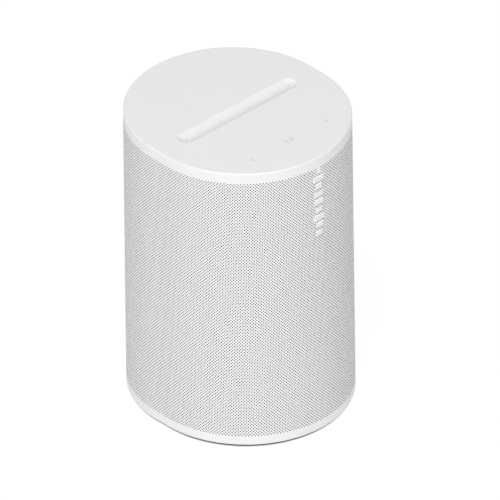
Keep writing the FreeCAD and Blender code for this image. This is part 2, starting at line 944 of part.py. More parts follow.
def pairing_button():
    """A round button with a shallow dish, a retaining flange and a stem towards its switch."""
    cap = rod("0", "panel_back - 0.2", "button_level", "button_radius", "panel_thickness - 0.35", "y")
    flange = rod("0", "panel_back - 1", "button_level", "button_radius + 1.2", "0.8", "y")
    stem = rod("0", "panel_back - 2.3", "button_level", "1.5", "1.5", "y")
    dish = ball("0", "panel_back + panel_thickness - 0.55 - 0.4 + 12", "button_level", "12")
    return without(together([cap, flange, stem]), dish)


def privacy_slider():
    """The microphone switch's cap, with grip ribs, its flange and a finger to the switch."""
    cap = block(
        "slider_rest", "panel_back + panel_thickness / 2 - 0.4", "slider_level - slider_cap_height / 2",
        "slider_cap", "panel_thickness - 0.4", "slider_cap_height",
    )
    flange = block("slider_rest", "panel_back - 0.6", "slider_level - 2.3", "slider_cap + 4.6", "0.8", "4.6")
    finger = block("slider_rest", "panel_back - 1.7", "slider_level - 0.8", "1.6", "1.8", "1.6")
    grooves = [
        block(
            f"slider_rest + {step} * slider_cap / 5", "panel_back + panel_thickness - 0.6",
            "slider_level - slider_cap_height", "0.4", "0.6", "2 * slider_cap_height",
        )
        for step in (-1.5, -0.5, 0.5, 1.5)
    ]
    return without(together([cap, flange, finger]), *grooves)


def usb_c_socket():
    """A rounded steel shell, closed at the board, with its contact tongue."""
    length = "io_board_drop + panel_thickness - 1.3"
    radius = "socket_height / 2"

    def capsule(inset, start, reach):
        half = "(socket_width - socket_height) / 2"
        place = f"io_board_back + {start}"
        size = f"{radius} - {inset}"
        ends = [rod(f"{sign}{half}", place, "socket_level", size, reach, "y") for sign in ("-", "")]
        width = "socket_width - socket_height"
        middle = box(f"-{half}", place, f"socket_level - ({size})", width, reach, f"2 * ({size})")
        return together(ends + [middle])

    shell = without(capsule("0", "0", length), capsule("socket_wall", "0.8", length))
    tongue = box("-3.3", "io_board_back + 0.6", "socket_level - 0.35", "6.6", "4.6", "0.7")
    return together([shell, tongue])


def io_board():
    tall = "panel_high - panel_low - 1"
    plate = block("0", "io_board_front + board_thickness / 2", "panel_low + 1", "18", "board_thickness", tall)
    pilots = [
        rod("0", "io_board_front - 1", z, "small_screw_radius + fit_gap", "5", "y") for z in io_screw_places()
    ]
    return without(plate, *pilots)


def io_switches():
    """The pairing button's switch, the slide switch's body, a protection chip and a connector."""
    tact_body = block("0", "io_board_back + 0.6", "button_level - 3", "6", "1.2", "6")
    plunger = rod("0", "io_board_back", "button_level", "1.5", "1.95", "y")
    tact = together([tact_body, plunger])
    slide = block("0", "io_board_back + 0.9", "slider_level - 2", "9", "1.8", "4")
    chip = block("0", "io_board_back + 0.5", "50 - 2", "4", "1", "4")
    plug = block("0", "io_board_front - 1.5", "72", "8", "3", "3")
    return group([tact, slide, chip, plug])


# ---------------------------------------------------------------- sealed enclosure


def tweeter_turn(side):
    """The turn that points +Z from a waveguide's mouth into the cabinet, 45 degrees inwards."""
    inward = FreeCAD.Rotation(FreeCAD.Vector(1, 0, 0), -90)
    return FreeCAD.Rotation(FreeCAD.Vector(0, 0, 1), 45 * side) * inward


def place_tweeter(thing, side):
    thing.Placement.Rotation = tweeter_turn(side)
    return move(thing, f"{side} * tweeter_side", "tweeter_front", "tweeter_level")


def place_woofer(thing):
    thing.Placement.Rotation = FreeCAD.Rotation(FreeCAD.Vector(1, 0, 0), -90)
    return move(thing, "0", "baffle_front", "woofer_level")


def tweeter_pocket(side):
    """The space that a tweeter takes behind its waveguide's throat, with room round it."""
    ring = rod("0", "0", "0", "motor_flange + 0.2", "3.4")
    move(ring, z="horn_depth")
    can = rod("0", "0", "0", "motor_radius + 0.4", "motor_length + 0.4")
    move(can, z="horn_depth")
    return place_tweeter(together([ring, can]), side)


def flange_screw_places():
    ring = "flange_screw_ring * sqrt(0.5)"
    return [(f"{a}({ring})", f"woofer_level {b} ({ring})") for a in ("-", "") for b in ("-", "+")]


def corner_boss_levels():
    return [
        "enclosure_low + enclosure_wall - 0.5",
        "enclosure_high - enclosure_wall + 0.5 - corner_boss",
    ]


def enclosure_screw_places():
    middle = "corner_boss_place + corner_boss / 2"
    return [
        (f"{sign}({middle})", f"{low} + corner_boss / 2")
        for low in corner_boss_levels()
        for sign in ("-", "")
    ]


def enclosure_shell(inset, grow):
    """The enclosure's outer form, or its hollow: the cabinet's outline between two flat planes."""
    low = f"enclosure_low + {grow}"
    tall = f"enclosure_high - enclosure_low - 2 * {grow}"
    outline = obround_block("enclosure_form", inset, low, tall)
    length = f"baffle_place + enclosure_back - 2 * {grow}"
    slab = box("-width", f"baffle_front + {grow}", low, "2 * width", length, tall)
    return common(outline, slab)


def enclosure_slice(start, end):
    """The wall of the enclosure between two planes across its depth."""
    shell = without(
        enclosure_shell("enclosure_inset", "0"),
        enclosure_shell("enclosure_inset + enclosure_wall", "enclosure_wall"),
    )
    return common(shell, box("-width", start, "0", "2 * width", f"{end} - ({start})", "height"))


def corner_bosses(start, length):
    places = [("-corner_boss_place - corner_boss", low) for low in corner_boss_levels()]
    places += [("corner_boss_place", low) for low in corner_boss_levels()]
    return [box(x, start, low, "corner_boss", length, "corner_boss") for x, low in places]


def corner_holes(start, length):
    return [rod(x, start, z, "screw_radius + fit_gap", length, "y") for x, z in enclosure_screw_places()]


def legs(row):
    pair = [(f"{sign}leg_side", row) for sign in ("-", "")]
    return [rod(x, y, "floor_top", "leg_radius", "enclosure_low - floor_top + 1") for x, y in pair]


def leg_holes(row):
    pair = [(f"{sign}leg_side", row) for sign in ("-", "")]
    return [rod(x, y, "floor_top - 1", "screw_radius + fit_gap", "16") for x, y in pair]


def enclosure_front():
    walls = enclosure_slice("baffle_front - 1", "enclosure_split")
    start = "enclosure_split - front_boss_length"
    solid = together([walls] + corner_bosses(start, "front_boss_length") + legs("-front_leg"))
    opening = rod("0", "baffle_front - 1", "woofer_level", "woofer_opening", "enclosure_wall + 2", "y")
    screws = [
        rod(x, "baffle_front - 1", z, "screw_radius + fit_gap", "enclosure_wall + 2", "y")
        for x, z in flange_screw_places()
    ]
    tweeters = [tweeter_pocket(side) for side in (-1, 1)]
    holes = corner_holes(f"{start} - 1", "front_boss_length + 2")
    return without(solid, opening, *screws, *tweeters, *holes, *leg_holes("-front_leg"))


def board_standoffs():
    return corners("main_board_width / 2 - 5", "main_board_low + 5", "main_board_high - 5")


def enclosure_back():
    start = "enclosure_split + gasket_thickness"
    walls = enclosure_slice(start, "enclosure_back + 1")
    bosses = corner_bosses(start, f"enclosure_back - 1 - ({start})")
    pads = [rod(x, "enclosure_back - 1", z, "3", "standoff + 1", "y") for x, z in board_standoffs()]
    solid = together([walls] + bosses + pads + legs("rear_leg"))
    holes = corner_holes(f"{start} - 1", "enclosure_back")
    pilots = [
        rod(x, "enclosure_back + 0.5", z, "small_screw_radius + fit_gap", "standoff", "y")
        for x, z in board_standoffs()
    ]
    return without(solid, *holes, *pilots, *leg_holes("rear_leg"))


def enclosure_gasket():
    return enclosure_slice("enclosure_split", "enclosure_split + gasket_thickness")


def enclosure_screws():
    return group([screw(x, "enclosure_back", z, "-y", "28") for x, z in enclosure_screw_places()])


def damping_foam():
    back = "enclosure_back - enclosure_wall - seam_gap"
    low = "enclosure_low + enclosure_wall + corner_boss + 4"
    high = "enclosure_high - enclosure_wall - corner_boss - 4"
    return box("-36", f"{back} - foam_thickness", low, "72", "foam_thickness", f"{high} - ({low})")


# ---------------------------------------------------------------- woofer


def flange_holes(thing):
    """Cut the four screw holes through a ring of the woofer, in its own upright frame."""
    ring = "flange_screw_ring * sqrt(0.5)"
    holes = [
        rod(f"{a}({ring})", f"{b}({ring})", "-10", "screw_radius + 0.2", "11")
        for a in ("-", "")
        for b in ("-", "")
    ]
    return without(thing, *holes)


def woofer_frame():
    """A cast basket: flange, six windows in its sloping wall, and a plate behind."""
    body = revolve(
        "basket",
        [
            ("woofer_opening - 3", "flange_front"),
            ("woofer_radius", "flange_front"),
            ("woofer_radius", "-woofer_gasket_thickness"),
            ("woofer_opening - 0.6", "-woofer_gasket_thickness"),
            ("top_plate_radius - 2.8", "basket_depth"),
            ("top_plate_radius - 2.8", "plate_front"),
            ("coil_outer + 1.2", "plate_front"),
            ("coil_outer + 1.2", "basket_depth"),
            ("top_plate_radius - 5", "basket_depth"),
        ],
    )
    window = new_sketch(body, level="3")
    draw_circle(window, "woofer_opening - 8", "0", "5.5")
    opening = pocket(body, window, "basket_depth - 5")
    pattern = body.newObject("PartDesign::PolarPattern", "windows")
    pattern.Originals = [opening]
    pattern.Axis = (window, ["N_Axis"])
    pattern.Angle = 360
    pattern.Occurrences = 6
    body.Tip = pattern
    doc.recompute()
    return place_woofer(flange_holes(body))


def woofer_gasket():
    ring = revolve(
        "woofer_gasket_ring",
        [
            ("woofer_opening", "-woofer_gasket_thickness"),
            ("woofer_radius", "-woofer_gasket_thickness"),
            ("woofer_radius", "0"),
            ("woofer_opening", "0"),
        ],
    )
    return place_woofer(flange_holes(ring))


def woofer_surround():
    """A half roll of rubber with a flat lip on each side."""
    roll = "(cone_radius + woofer_opening - 3) / 2"
    size = "(woofer_opening - 3 - cone_radius) / 2 + 0.6"
    skin = "0.6"
    outer = doc.addObject("Part::Torus", "roll")
    bind(outer, Radius1=roll, Radius2=size)
    inner = doc.addObject("Part::Torus", "roll")
    bind(inner, Radius1=roll, Radius2=f"{size} - {skin}")
    for ring in (outer, inner):
        move(ring, z="flange_front")
    front_half = rod("0", "0", "flange_front - 10", "woofer_radius", "10")
    arch = common(without(outer, inner), front_half)
    cone_lip = without(
        rod("0", "0", f"flange_front - {skin}", f"{roll} - {size} + 0.3", skin),
        rod("0", "0", "flange_front - 5", "cone_radius - 1.9", "10"),
    )
    frame_lip = without(
        rod("0", "0", f"flange_front - {skin}", "woofer_opening - 1.2", skin),
        rod("0", "0", "flange_front - 5", f"{roll} + {size} - 0.3", "10"),
    )
    return place_woofer(together([arch, cone_lip, frame_lip]))


def woofer_cone():
    inner = "coil_outer - 0.3"
    return place_woofer(
        revolve(
            "cone",
            [
                ("cone_radius - 1.9", "flange_front"),
                ("cone_radius", "flange_front"),
                ("cone_radius", "flange_front + 0.6"),
                ("cone_radius - 1.2", "flange_front + 0.6"),
                (f"{inner} + 0.7", "14"),
                (inner, "14"),
                (inner, "13.2"),
            ],
        )
    )


def woofer_dust_cap():
    """A shallow dome over the voice coil."""
    inside_cone = number("(cone_radius - 1.9) * 0.2235 + (coil_outer + 0.4) * 0.7765")
    rim, rise, skin = round(inside_cone - 1.82, 1), 5.0, 0.6
    curve = round((rim * rim + rise * rise) / (2 * rise), 3)
    level = 10.4 - rise + curve
    shell = without(ball("0", "0", level, curve), ball("0", "0", level, curve - skin))
    return place_woofer(common(shell, rod("0", "0", "0", rim, "10.2")))


def woofer_spider():
    """A corrugated cloth disc between the coil and the basket."""
    skin = 0.5
    inner = number("coil_radius") + 0.8
    basket_inside = number("(woofer_opening - 3) * 0.28 + (top_plate_radius - 5) * 0.72")
    outer = round(basket_inside - 0.96, 3)
    folds = 9
    step = (outer - inner) / folds
    upper = [(inner + step * i, 15 + 0.7 * (i % 2)) for i in range(folds + 1)]
    lower = [(radius, level + skin) for radius, level in reversed(upper)]
    return place_woofer(revolve("spider", [(str(r), str(z)) for r, z in upper + lower]))


def woofer_voice_coil():
    return place_woofer(
        revolve(
            "coil",
            [
                ("coil_radius", "10"),
                ("coil_radius + 0.5", "10"),
                ("coil_radius + 0.5", "20"),
                ("coil_outer", "20"),
                ("coil_outer", "plate_front + 6"),
                ("coil_radius", "plate_front + 6"),
            ],
        )
    )


def ring(name, inner, outer, low, high):
    return revolve(name, [(inner, low), (outer, low), (outer, high), (inner, high)])


def woofer_top_plate():
    plate = ring("top_plate", "coil_outer + coil_gap", "top_plate_radius", "plate_front", "magnet_front")
    return place_woofer(plate)


def woofer_magnet():
    return place_woofer(ring("magnet", "magnet_bore", "magnet_radius", "magnet_front", "yoke_front"))


def woofer_yoke():
    """The back plate and the vented pole that the coil runs over."""
    return place_woofer(
        revolve(
            "yoke",
            [
                ("pole_vent", "plate_front + 1"),
                ("pole_radius", "plate_front + 1"),
                ("pole_radius", "yoke_front"),
                ("top_plate_radius", "yoke_front"),
                ("top_plate_radius", "yoke_back"),
                ("pole_vent", "yoke_back"),
            ],
        )
    )


def woofer_screws():
    level = "baffle_front + flange_front"
    return group([screw(x, level, z, "y", "10") for x, z in flange_screw_places()])


# ---------------------------------------------------------------- tweeters


def waveguide(side):
    """A wedge on the baffle whose sloping face carries the horn, 45 degrees to one side."""
    body = new_body("guide")
    sketch = new_sketch(body, level="tweeter_level - guide_half")
    inner = f"{side} * guide_inner"
    nose = "baffle_front - 22"
    draw_polygon(
        sketch,
        [
            (inner, "baffle_front"),
            (inner, nose),
            (f"{side} * (guide_inner + guide_nose)", nose),
            (f"{side} * (guide_inner + guide_nose + 22)", "baffle_front"),
        ],
    )
    pad(body, sketch, "2 * guide_half")
    horn = doc.addObject("Part::Cone", "horn")
    bind(horn, Radius1="mouth_radius", Radius2="throat_radius", Height="horn_depth + 0.02")
    place_tweeter(horn, side)
    return without(body, horn, tweeter_pocket(side))


def tweeter_motor(side):
    """The mounting ring, the steel cup with its pole, and the slot that the coil moves in."""
    front = "horn_depth + 0.1"
    return place_tweeter(
        revolve(
            "tweeter_motor",
            [
                ("0", f"{front} + 1.7"),
                ("motor_radius - 3", f"{front} + 1.7"),
                ("motor_radius - 3", f"{front} + 5.9"),
                ("motor_radius - 1.4", f"{front} + 5.9"),
                ("motor_radius - 1.4", f"{front} + 2.3"),
                ("motor_radius + 0.5", f"{front} + 2.3"),
                ("motor_radius + 0.5", front),
                ("motor_flange", front),
                ("motor_flange", f"{front} + 3.1"),
                ("motor_radius", f"{front} + 3.1"),
                ("motor_radius", "motor_back"),
                ("0", "motor_back"),
            ],
        ),
        side,
    )


def tweeter_dome(side):
    """A soft dome with its flat edge ring, and the coil's tube behind it."""
    rim = "horn_depth + 1.6"
    curve = "(dome_radius * dome_radius + dome_height * dome_height) / (2 * dome_height)"
    skin = "0.3"
    level = f"{rim} - dome_height + {curve}"
    shell = without(ball("0", "0", level, curve), ball("0", "0", level, f"{curve} - {skin}"))
    cap = common(shell, rod("0", "0", f"{rim} - dome_height - 1", "dome_radius", "dome_height + 1.2"))
    edge = without(
        rod("0", "0", rim, "motor_radius + 0.2", skin),
        rod("0", "0", f"{rim} - 1", "dome_radius - 0.4", "3"),
    )
    coil = without(
        rod("0", "0", f"{rim} - 0.9", "motor_radius - 2", "3.8"),
        rod("0", "0", f"{rim} - 2", "motor_radius - 2.4", "8"),
    )
    return place_tweeter(together([cap, edge, coil]), side)


# ---------------------------------------------------------------- main board


def main_board():
    tall = "main_board_high - main_board_low"
    plate = block(
        "0", "main_board_front + board_thickness / 2", "main_board_low",
        "main_board_width", "board_thickness", tall,
    )
    holes = [
        rod(x, "main_board_front - 1", z, "small_screw_radius + fit_gap", "4", "y") for x, z in board_standoffs()
    ]
    return without(plate, *holes)


def on_main_board(x, z, length, tall, height):
    return block(x, f"main_board_back + ({height}) / 2", f"{z} - ({tall}) / 2", length, height, tall)


def main_board_chips():
    """Processor and memory under the shield, amplifiers, coils, capacitors and connectors."""
    pieces = [
        on_main_board("-6", "shield_level + 4", "14", "14", "1.4"),
        on_main_board("9", "shield_level - 6", "8", "11", "1.2"),
        on_main_board("0", "main_board_high - 4", "16", "4", "2.4"),
        on_main_board("0", "main_board_low + 4", "14", "5", "5"),
    ]
    for side in (-1, 1):
        pieces.append(on_main_board(f"{side * 20}", "main_board_low + 30", "8", "8", "1.1"))
        for step in (0, 1):
            pieces.append(on_main_board(f"{side * (14 + 11 * step)}", "main_board_low + 19", "7", "7", "4"))
            place = f"main_board_low + {30 + 9 * step}"
            pieces.append(rod(f"{side * 31}", "main_board_back", place, "3.2", "7", "y"))
    return group(pieces)


def shield_can():
    outer = on_main_board("0", "shield_level", "shield_size", "shield_size", "shield_height")
    inner = on_main_board(
        "0", "shield_level", "shield_size - 2 * shield_wall", "shield_size - 2 * shield_wall",
        "shield_height - shield_wall",
    )
    return without(outer, inner)


def thermal_pad():
    side = "shield_size - 4"
    middle = "main_board_back + shield_height + pad_thickness / 2"
    return block("0", middle, f"shield_level - ({side}) / 2", side, "pad_thickness", side)


def heat_sink():
    """An extruded sink whose fins run upright, on four posts against the board."""
    low = "shield_level - sink_height / 2"
    plate = block("0", "sink_front + sink_plate / 2", low, "sink_width", "sink_plate", "sink_height")
    pitch = "(sink_width - fin_thickness) / (fin_count - 1)"
    fins = []
    for step in range(int(number("fin_count"))):
        left = f"-sink_width / 2 + {step} * {pitch}"
        fins.append(box(left, "sink_front + sink_plate - 0.2", low, "fin_thickness", "fin_height + 0.2", "sink_height"))
    posts = [
        rod(x, "main_board_back", z, "2.5", "sink_front - main_board_back + 0.5", "y")
        for x, z in corners("sink_width / 2 - 4", f"{low} + 4", f"{low} + sink_height - 4")
    ]
    return together([plate] + fins + posts)


def antennas():
    """Two flat aerials on the enclosure's straight sides."""
    inner = "width / 2 - enclosure_inset"
    level = "enclosure_high - 46"
    right = box(inner, "-4", level, "0.8", "8", "36")
    left = box(f"-({inner}) - 0.8", "-4", level, "0.8", "8", "36")
    return group([left, right])


# ---------------------------------------------------------------- power board


def power_board():
    board = box(
        "-power_board_width / 2", "-power_board_front", "power_board_level",
        "power_board_width", "power_board_length", "board_thickness",
    )
    holes = [
        rod(x, y, "power_board_level - 1", "screw_radius + fit_gap", "4") for x, y in standoff_places()
    ]
    return without(board, *holes)


def on_power_board(x, y, length, width, height):
    return block(x, y, "power_board_top", length, width, height)


def transformer():
    """A ferrite frame round a taped winding, as one potted part."""
    core = on_power_board("-12", "-8", "transformer_width", "transformer_length * 0.55", "transformer_height")
    winding = on_power_board(
        "-12", "-8", "transformer_width * 0.6", "transformer_length", "transformer_height - 2"
    )
    return together([core, winding])


def bulk_capacitor():
    can = rod("17", "-24", "power_board_top", "capacitor_radius", "capacitor_height")
    neck = doc.addObject("Part::Torus", "neck")
    bind(neck, Radius1="capacitor_radius + 0.5", Radius2="0.9")
    move(neck, "17", "-24", "power_board_top + 2.5")
    return without(can, neck)


def power_board_parts():
    """Line filter, rectifier, switching transistor on its plate, output filter and terminals."""
    pieces = [
        on_power_board("20", "6", "13", "10", "12"),
        on_power_board("-22", "7.5", "17", "7", "13"),
        on_power_board("2", "terminal_place", "14", "9", "terminal_height"),
        on_power_board("-25", "-30", "16", "8", "9"),
        on_power_board("0", "-30", "3", "18", "15"),
        on_power_board("4.5", "-30", "4", "10", "13"),
    ]
    for x in ("27.5", "20"):
        pieces.append(rod(x, "-9", "power_board_top", "3", "11"))
    return group(pieces)


# ---------------------------------------------------------------- screws and leads


def board_screws():
    """The small screws of the rear panel, inlet and main board, and those of the power board."""
    pieces = [small_screw("0", "io_board_front", z, "y", "5") for z in io_screw_places()]
    pieces += [small_screw(x, "main_board_back", z, "-y", "6") for x, z in board_standoffs()]
    pieces += [screw(x, y, "power_board_top", "-z", "7") for x, y in standoff_places()]
    return group(pieces)


def touch_ribbon():
    """A flat ribbon from the touch board's connector down to the main board's."""
    front = "main_board_back + 2.4"
    strip = box("-6", front, "main_board_high - 6", "12", "0.3", "touch_bottom - main_board_high + 6")
    return strip


def mains_leads():
    """The insulated leads from the inlet's tails to the power board's terminals."""
    tail = "inlet_roof + inlet_wall + pin_tail"
    routes = []
    for x in inlet_pin_places():
        routes.append(
            [
                (x, "inlet_place", tail),
                (x, "inlet_place", f"{tail} + 2.6"),
                (x, "inlet_place - 5", f"{tail} + 2.6"),
                (x, "inlet_place - 14", f"{tail} - 1"),
                (f"({x}) * 0.9 + 2", "terminal_place", "power_board_top + 14"),
                (f"({x}) * 0.9 + 2", "terminal_place", "power_board_top + terminal_height"),
            ]
        )
    return leads("mains_leads", routes, 0.9)


# ---------------------------------------------------------------- the whole speaker


def build():
    icons = control_icons()
    node("control_icons", icons)
    node("top_cover", top_cover(icons))
    seal_hole = "seal_radius + fit_gap"
    node("touch_adhesive", touch_layer("adhesive", "adhesive_bottom", "adhesive_thickness", seal_hole))
    node("touch_board", touch_layer("touch_plate", "touch_bottom", "touch_board_thickness", "port_radius"))
    node("touch_board_parts", touch_board_parts())
    node("microphones", microphones())
    node("microphone_seals", microphone_seals())
    node("status_light_pipe", light_pipe())
    node("grille", grille())
    node("badge", badge())
    node("base", base())
    node("foot_ring", foot_ring())
    node("mount_insert", mount_insert())
    node("base_screws", base_screws())
    node("inlet_housing", inlet_housing())
    node("inlet_pins", inlet_pins())
    node("io_panel", io_panel())
    node("pairing_button", pairing_button())
    node("privacy_slider", privacy_slider())
    node("usb_c_socket", usb_c_socket())
    node("io_board", io_board())
    node("io_switches", io_switches())
    node("enclosure_front", enclosure_front())
    node("enclosure_back", enclosure_back())
    node("enclosure_gasket", enclosure_gasket())
    node("enclosure_screws", enclosure_screws())
    node("damping_foam", damping_foam())
    node("woofer_frame", woofer_frame())
    node("woofer_gasket", woofer_gasket())
    node("woofer_surround", woofer_surround())
    node("woofer_cone", woofer_cone())
    node("woofer_dust_cap", woofer_dust_cap())
    node("woofer_spider", woofer_spider())
    node("woofer_voice_coil", woofer_voice_coil())
    node("woofer_top_plate", woofer_top_plate())
    node("woofer_magnet", woofer_magnet())
    node("woofer_yoke", woofer_yoke())
    node("woofer_screws", woofer_screws())
    for side, word in ((-1, "left"), (1, "right")):
        node(word + "_waveguide", waveguide(side))
        node(word + "_tweeter_motor", tweeter_motor(side))
        node(word + "_tweeter_dome", tweeter_dome(side))
    node("main_board", main_board())
    node("main_board_chips", main_board_chips())
    node("shield_can", shield_can())
    node("thermal_pad", thermal_pad())
    node("heat_sink", heat_sink())
    node("antennas", antennas())
    node("power_board", power_board())
    node("transformer", transformer())
    node("bulk_capacitor", bulk_capacitor())
    node("power_board_parts", power_board_parts())
    node("board_screws", board_screws())
    node("touch_ribbon", touch_ribbon())
    node("mains_leads", mains_leads())


def check():
    """Stop if any object failed or any piece has no sound shape."""
    doc.recompute()
    for thing in doc.Objects:
        if "Invalid" in thing.State or "Error" in thing.State:
            raise ValueError(thing.Name + " failed: " + str(thing.State))
    for name, thing in NODES.items():
        solid = thing.Shape
        if solid.isNull() or not solid.isValid() or not solid.Solids:
            raise ValueError(name + " has no sound shape")


def write():
    os.makedirs("parts", exist_ok=True)
    for name, thing in NODES.items():
        thing.Shape.exportStep(f"parts/{name}.step")
        print(name, len(thing.Shape.Solids), round(thing.Shape.Volume, 1))


build()
check()
write()
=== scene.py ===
"""Smart speaker: surfaces, finishes, floor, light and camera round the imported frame.

Everything is in metres. The front faces -Y, the top +Z, and the floor is at z = 0.
"""

import json
import math

import bpy
import numpy as np
from bpy.props import FloatProperty, FloatVectorProperty, IntProperty, PointerProperty
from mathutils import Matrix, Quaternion, Vector


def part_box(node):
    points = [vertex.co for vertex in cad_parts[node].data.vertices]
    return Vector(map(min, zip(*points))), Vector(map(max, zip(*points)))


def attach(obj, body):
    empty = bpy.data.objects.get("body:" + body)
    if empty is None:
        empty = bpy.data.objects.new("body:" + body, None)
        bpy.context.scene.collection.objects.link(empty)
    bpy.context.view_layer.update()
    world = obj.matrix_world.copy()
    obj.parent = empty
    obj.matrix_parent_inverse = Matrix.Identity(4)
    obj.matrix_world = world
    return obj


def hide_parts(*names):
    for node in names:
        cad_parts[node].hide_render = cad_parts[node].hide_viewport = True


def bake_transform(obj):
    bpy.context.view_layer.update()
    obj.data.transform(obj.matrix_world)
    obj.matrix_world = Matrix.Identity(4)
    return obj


bl_info = {
    "name": "Smart speaker",
    "version": (1, 0, 0),
    "blender": (4, 5, 0),
    "location": "View3D > Sidebar > Speaker",
    "description": "Makes the visible surfaces and finishes of a smart speaker",
    "category": "Object",
}

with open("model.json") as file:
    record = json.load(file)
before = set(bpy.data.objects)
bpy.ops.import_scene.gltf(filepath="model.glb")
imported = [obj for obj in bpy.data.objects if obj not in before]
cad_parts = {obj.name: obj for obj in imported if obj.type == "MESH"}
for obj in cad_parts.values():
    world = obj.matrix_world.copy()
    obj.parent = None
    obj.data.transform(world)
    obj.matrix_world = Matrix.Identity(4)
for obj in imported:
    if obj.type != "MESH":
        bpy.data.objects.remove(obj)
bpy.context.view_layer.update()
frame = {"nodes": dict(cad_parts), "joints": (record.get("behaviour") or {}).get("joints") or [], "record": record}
NODES = frame["nodes"]
SLOT_OF = {part["node"]: part["material_slot"] for part in frame["record"]["subparts"]}
GRILLE_LOW, GRILLE_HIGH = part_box("grille")
MM = 0.001
# the rear panel's opening in the wall: half its width, and its lower and upper edge
WINDOW_HALF = 8.2 * MM
WINDOW_EDGES = (21.8 * MM, 88.2 * MM)


# ---------------------------------------------------------- what a user can change


def length(name, description, default):
    """A length that the sidebar shows in the scene's units."""
    return FloatProperty(
        name=name,
        description=description,
        default=default,
        min=0.0,
        precision=5,
        unit="LENGTH",
        subtype="DISTANCE",
    )


def angle(name, description, degrees):
    """An angle, given in degrees and kept in radians."""
    return FloatProperty(
        name=name,
        description=description,
        default=math.radians(degrees),
        unit="ROTATION",
        subtype="ANGLE",
    )


def colour(name, description, *default):
    """A colour of three linear parts."""
    return FloatVectorProperty(
        name=name,
        description=description,
        default=default,
        size=3,
        min=0.0,
        max=1.0,
        subtype="COLOR",
    )


def share(name, description, default):
    """A plain amount, such as a strength."""
    return FloatProperty(
        name=name,
        description=description,
        default=default,
        min=0.0,
        max=1000.0,
        subtype="FACTOR",
    )


def count(name, description, default):
    """A whole number of things."""
    return IntProperty(name=name, description=description, default=default, min=1)


class SpeakerSizes(bpy.types.PropertyGroup):
    """Sizes of the surfaces that are made here."""

    end_radius: length("End radius", "Radius of the round ends", GRILLE_HIGH.x)
    wall: length("Wall", "Thickness of the perforated wall", 1.6 * MM)
    holes_round: count("Holes round", "Holes in one row round the cabinet", 218)
    hole_rows: count("Rows of holes", "Rows of holes from bottom to top", 176)
    hole: length("Hole", "Width of one hole", 0.87 * MM)
    bands: count("Bands", "Pieces that the perforated wall is made in", 8)
    light_clearance: length(
        "Light clearance", "Plain wall round the status light", 1.7 * MM
    )
    badge_clearance: length("Badge clearance", "Plain wall round each bar", 0.3 * MM)
    turned_steps: count("Turned steps", "Steps round a turned piece", 160)


class SpeakerColours(bpy.types.PropertyGroup):
    """Colours of the main finishes."""

    shell: colour("Shell", "Top cover, base and badge", 0.84, 0.84, 0.837)
    grille: colour("Grille", "Perforated wall", 0.90, 0.90, 0.897)
    # painted shade: the holes' walls and the wall's inner face are coloured nearly black in place of their shadow
    holes: colour("Holes", "Inside of the holes", 0.03, 0.03, 0.03)
    icons: colour("Icons", "Inlaid touch icons", 0.60, 0.60, 0.61)
    foot: colour("Foot", "Rubber ring", 0.09, 0.09, 0.095)
    board: colour("Board", "Solder mask", 0.010, 0.075, 0.040)
    black: colour("Black", "Inner mouldings", 0.022, 0.022, 0.024)


class SpeakerStage(bpy.types.PropertyGroup):
    """Camera, light and floor."""

    azimuth: angle("Azimuth", "Camera's direction round the speaker", -43.0)
    elevation: angle("Elevation", "Camera's height over the horizon", 33.8)
    roll: angle("Roll", "Camera's turn round its own axis", -0.7)
    picture_width: length("Picture width", "Width that the camera sees", 277.3 * MM)
    camera_distance: length("Camera distance", "From the camera to the aim", 1.2)
    sideways: length("Sideways", "Camera centre to the right of the aim", 5.95 * MM)
    downwards: length("Downwards", "Camera centre below the aim", 1.35 * MM)
    aim_height: length("Aim height", "Height of the point aimed at", 91 * MM)
    sky: share("Sky", "Strength of the even white light", 0.25)
    key: share("Key", "Strength of the large soft light in watts", 152.0)
    key_size: length("Key size", "Width of the large soft light", 2.4)
    key_distance: length("Key distance", "From the large soft light to the aim", 4.0)
    key_azimuth: angle("Key azimuth", "Direction of the large soft light", -50.0)
    key_elevation: angle("Key elevation", "Height of the large soft light", 58.0)
    floor_glow: share("Floor glow", "Light that the floor gives off", 0.93)
    floor_drop: length("Floor drop", "Floor's depth under the foot", 0.1 * MM)


# ---------------------------------------------------------- materials


class Wire:
    """A number on its way through a material; arithmetic on it adds Math nodes."""

    def __init__(self, finish, socket):
        self.finish, self.socket = finish, socket

    def maths(self, operation, *values):
        """A Math node on values that are numbers or wires."""
        return self.finish.node(
            "ShaderNodeMath", {"operation": operation}, dict(enumerate(values))
        )

    def __add__(self, other):
        return self.maths("ADD", self, other)

    __radd__ = __add__

    def __sub__(self, other):
        return self.maths("SUBTRACT", self, other)

    def __rsub__(self, other):
        return self.maths("SUBTRACT", other, self)

    def __mul__(self, other):
        return self.maths("MULTIPLY", self, other)

    __rmul__ = __mul__

    def absolute(self):
        return self.maths("ABSOLUTE", self)

    def root(self):
        return self.maths("SQRT", self)

    def at_least(self, lowest):
        return self.maths("MAXIMUM", self, lowest)

    def clamped(self):
        return self.maths("MINIMUM", self.at_least(0.0), 1.0)

    def step(self, edge, softness):
        """0 below the edge and 1 above it, over that softness."""
        return ((self - edge) * (1.0 / softness)).clamped()


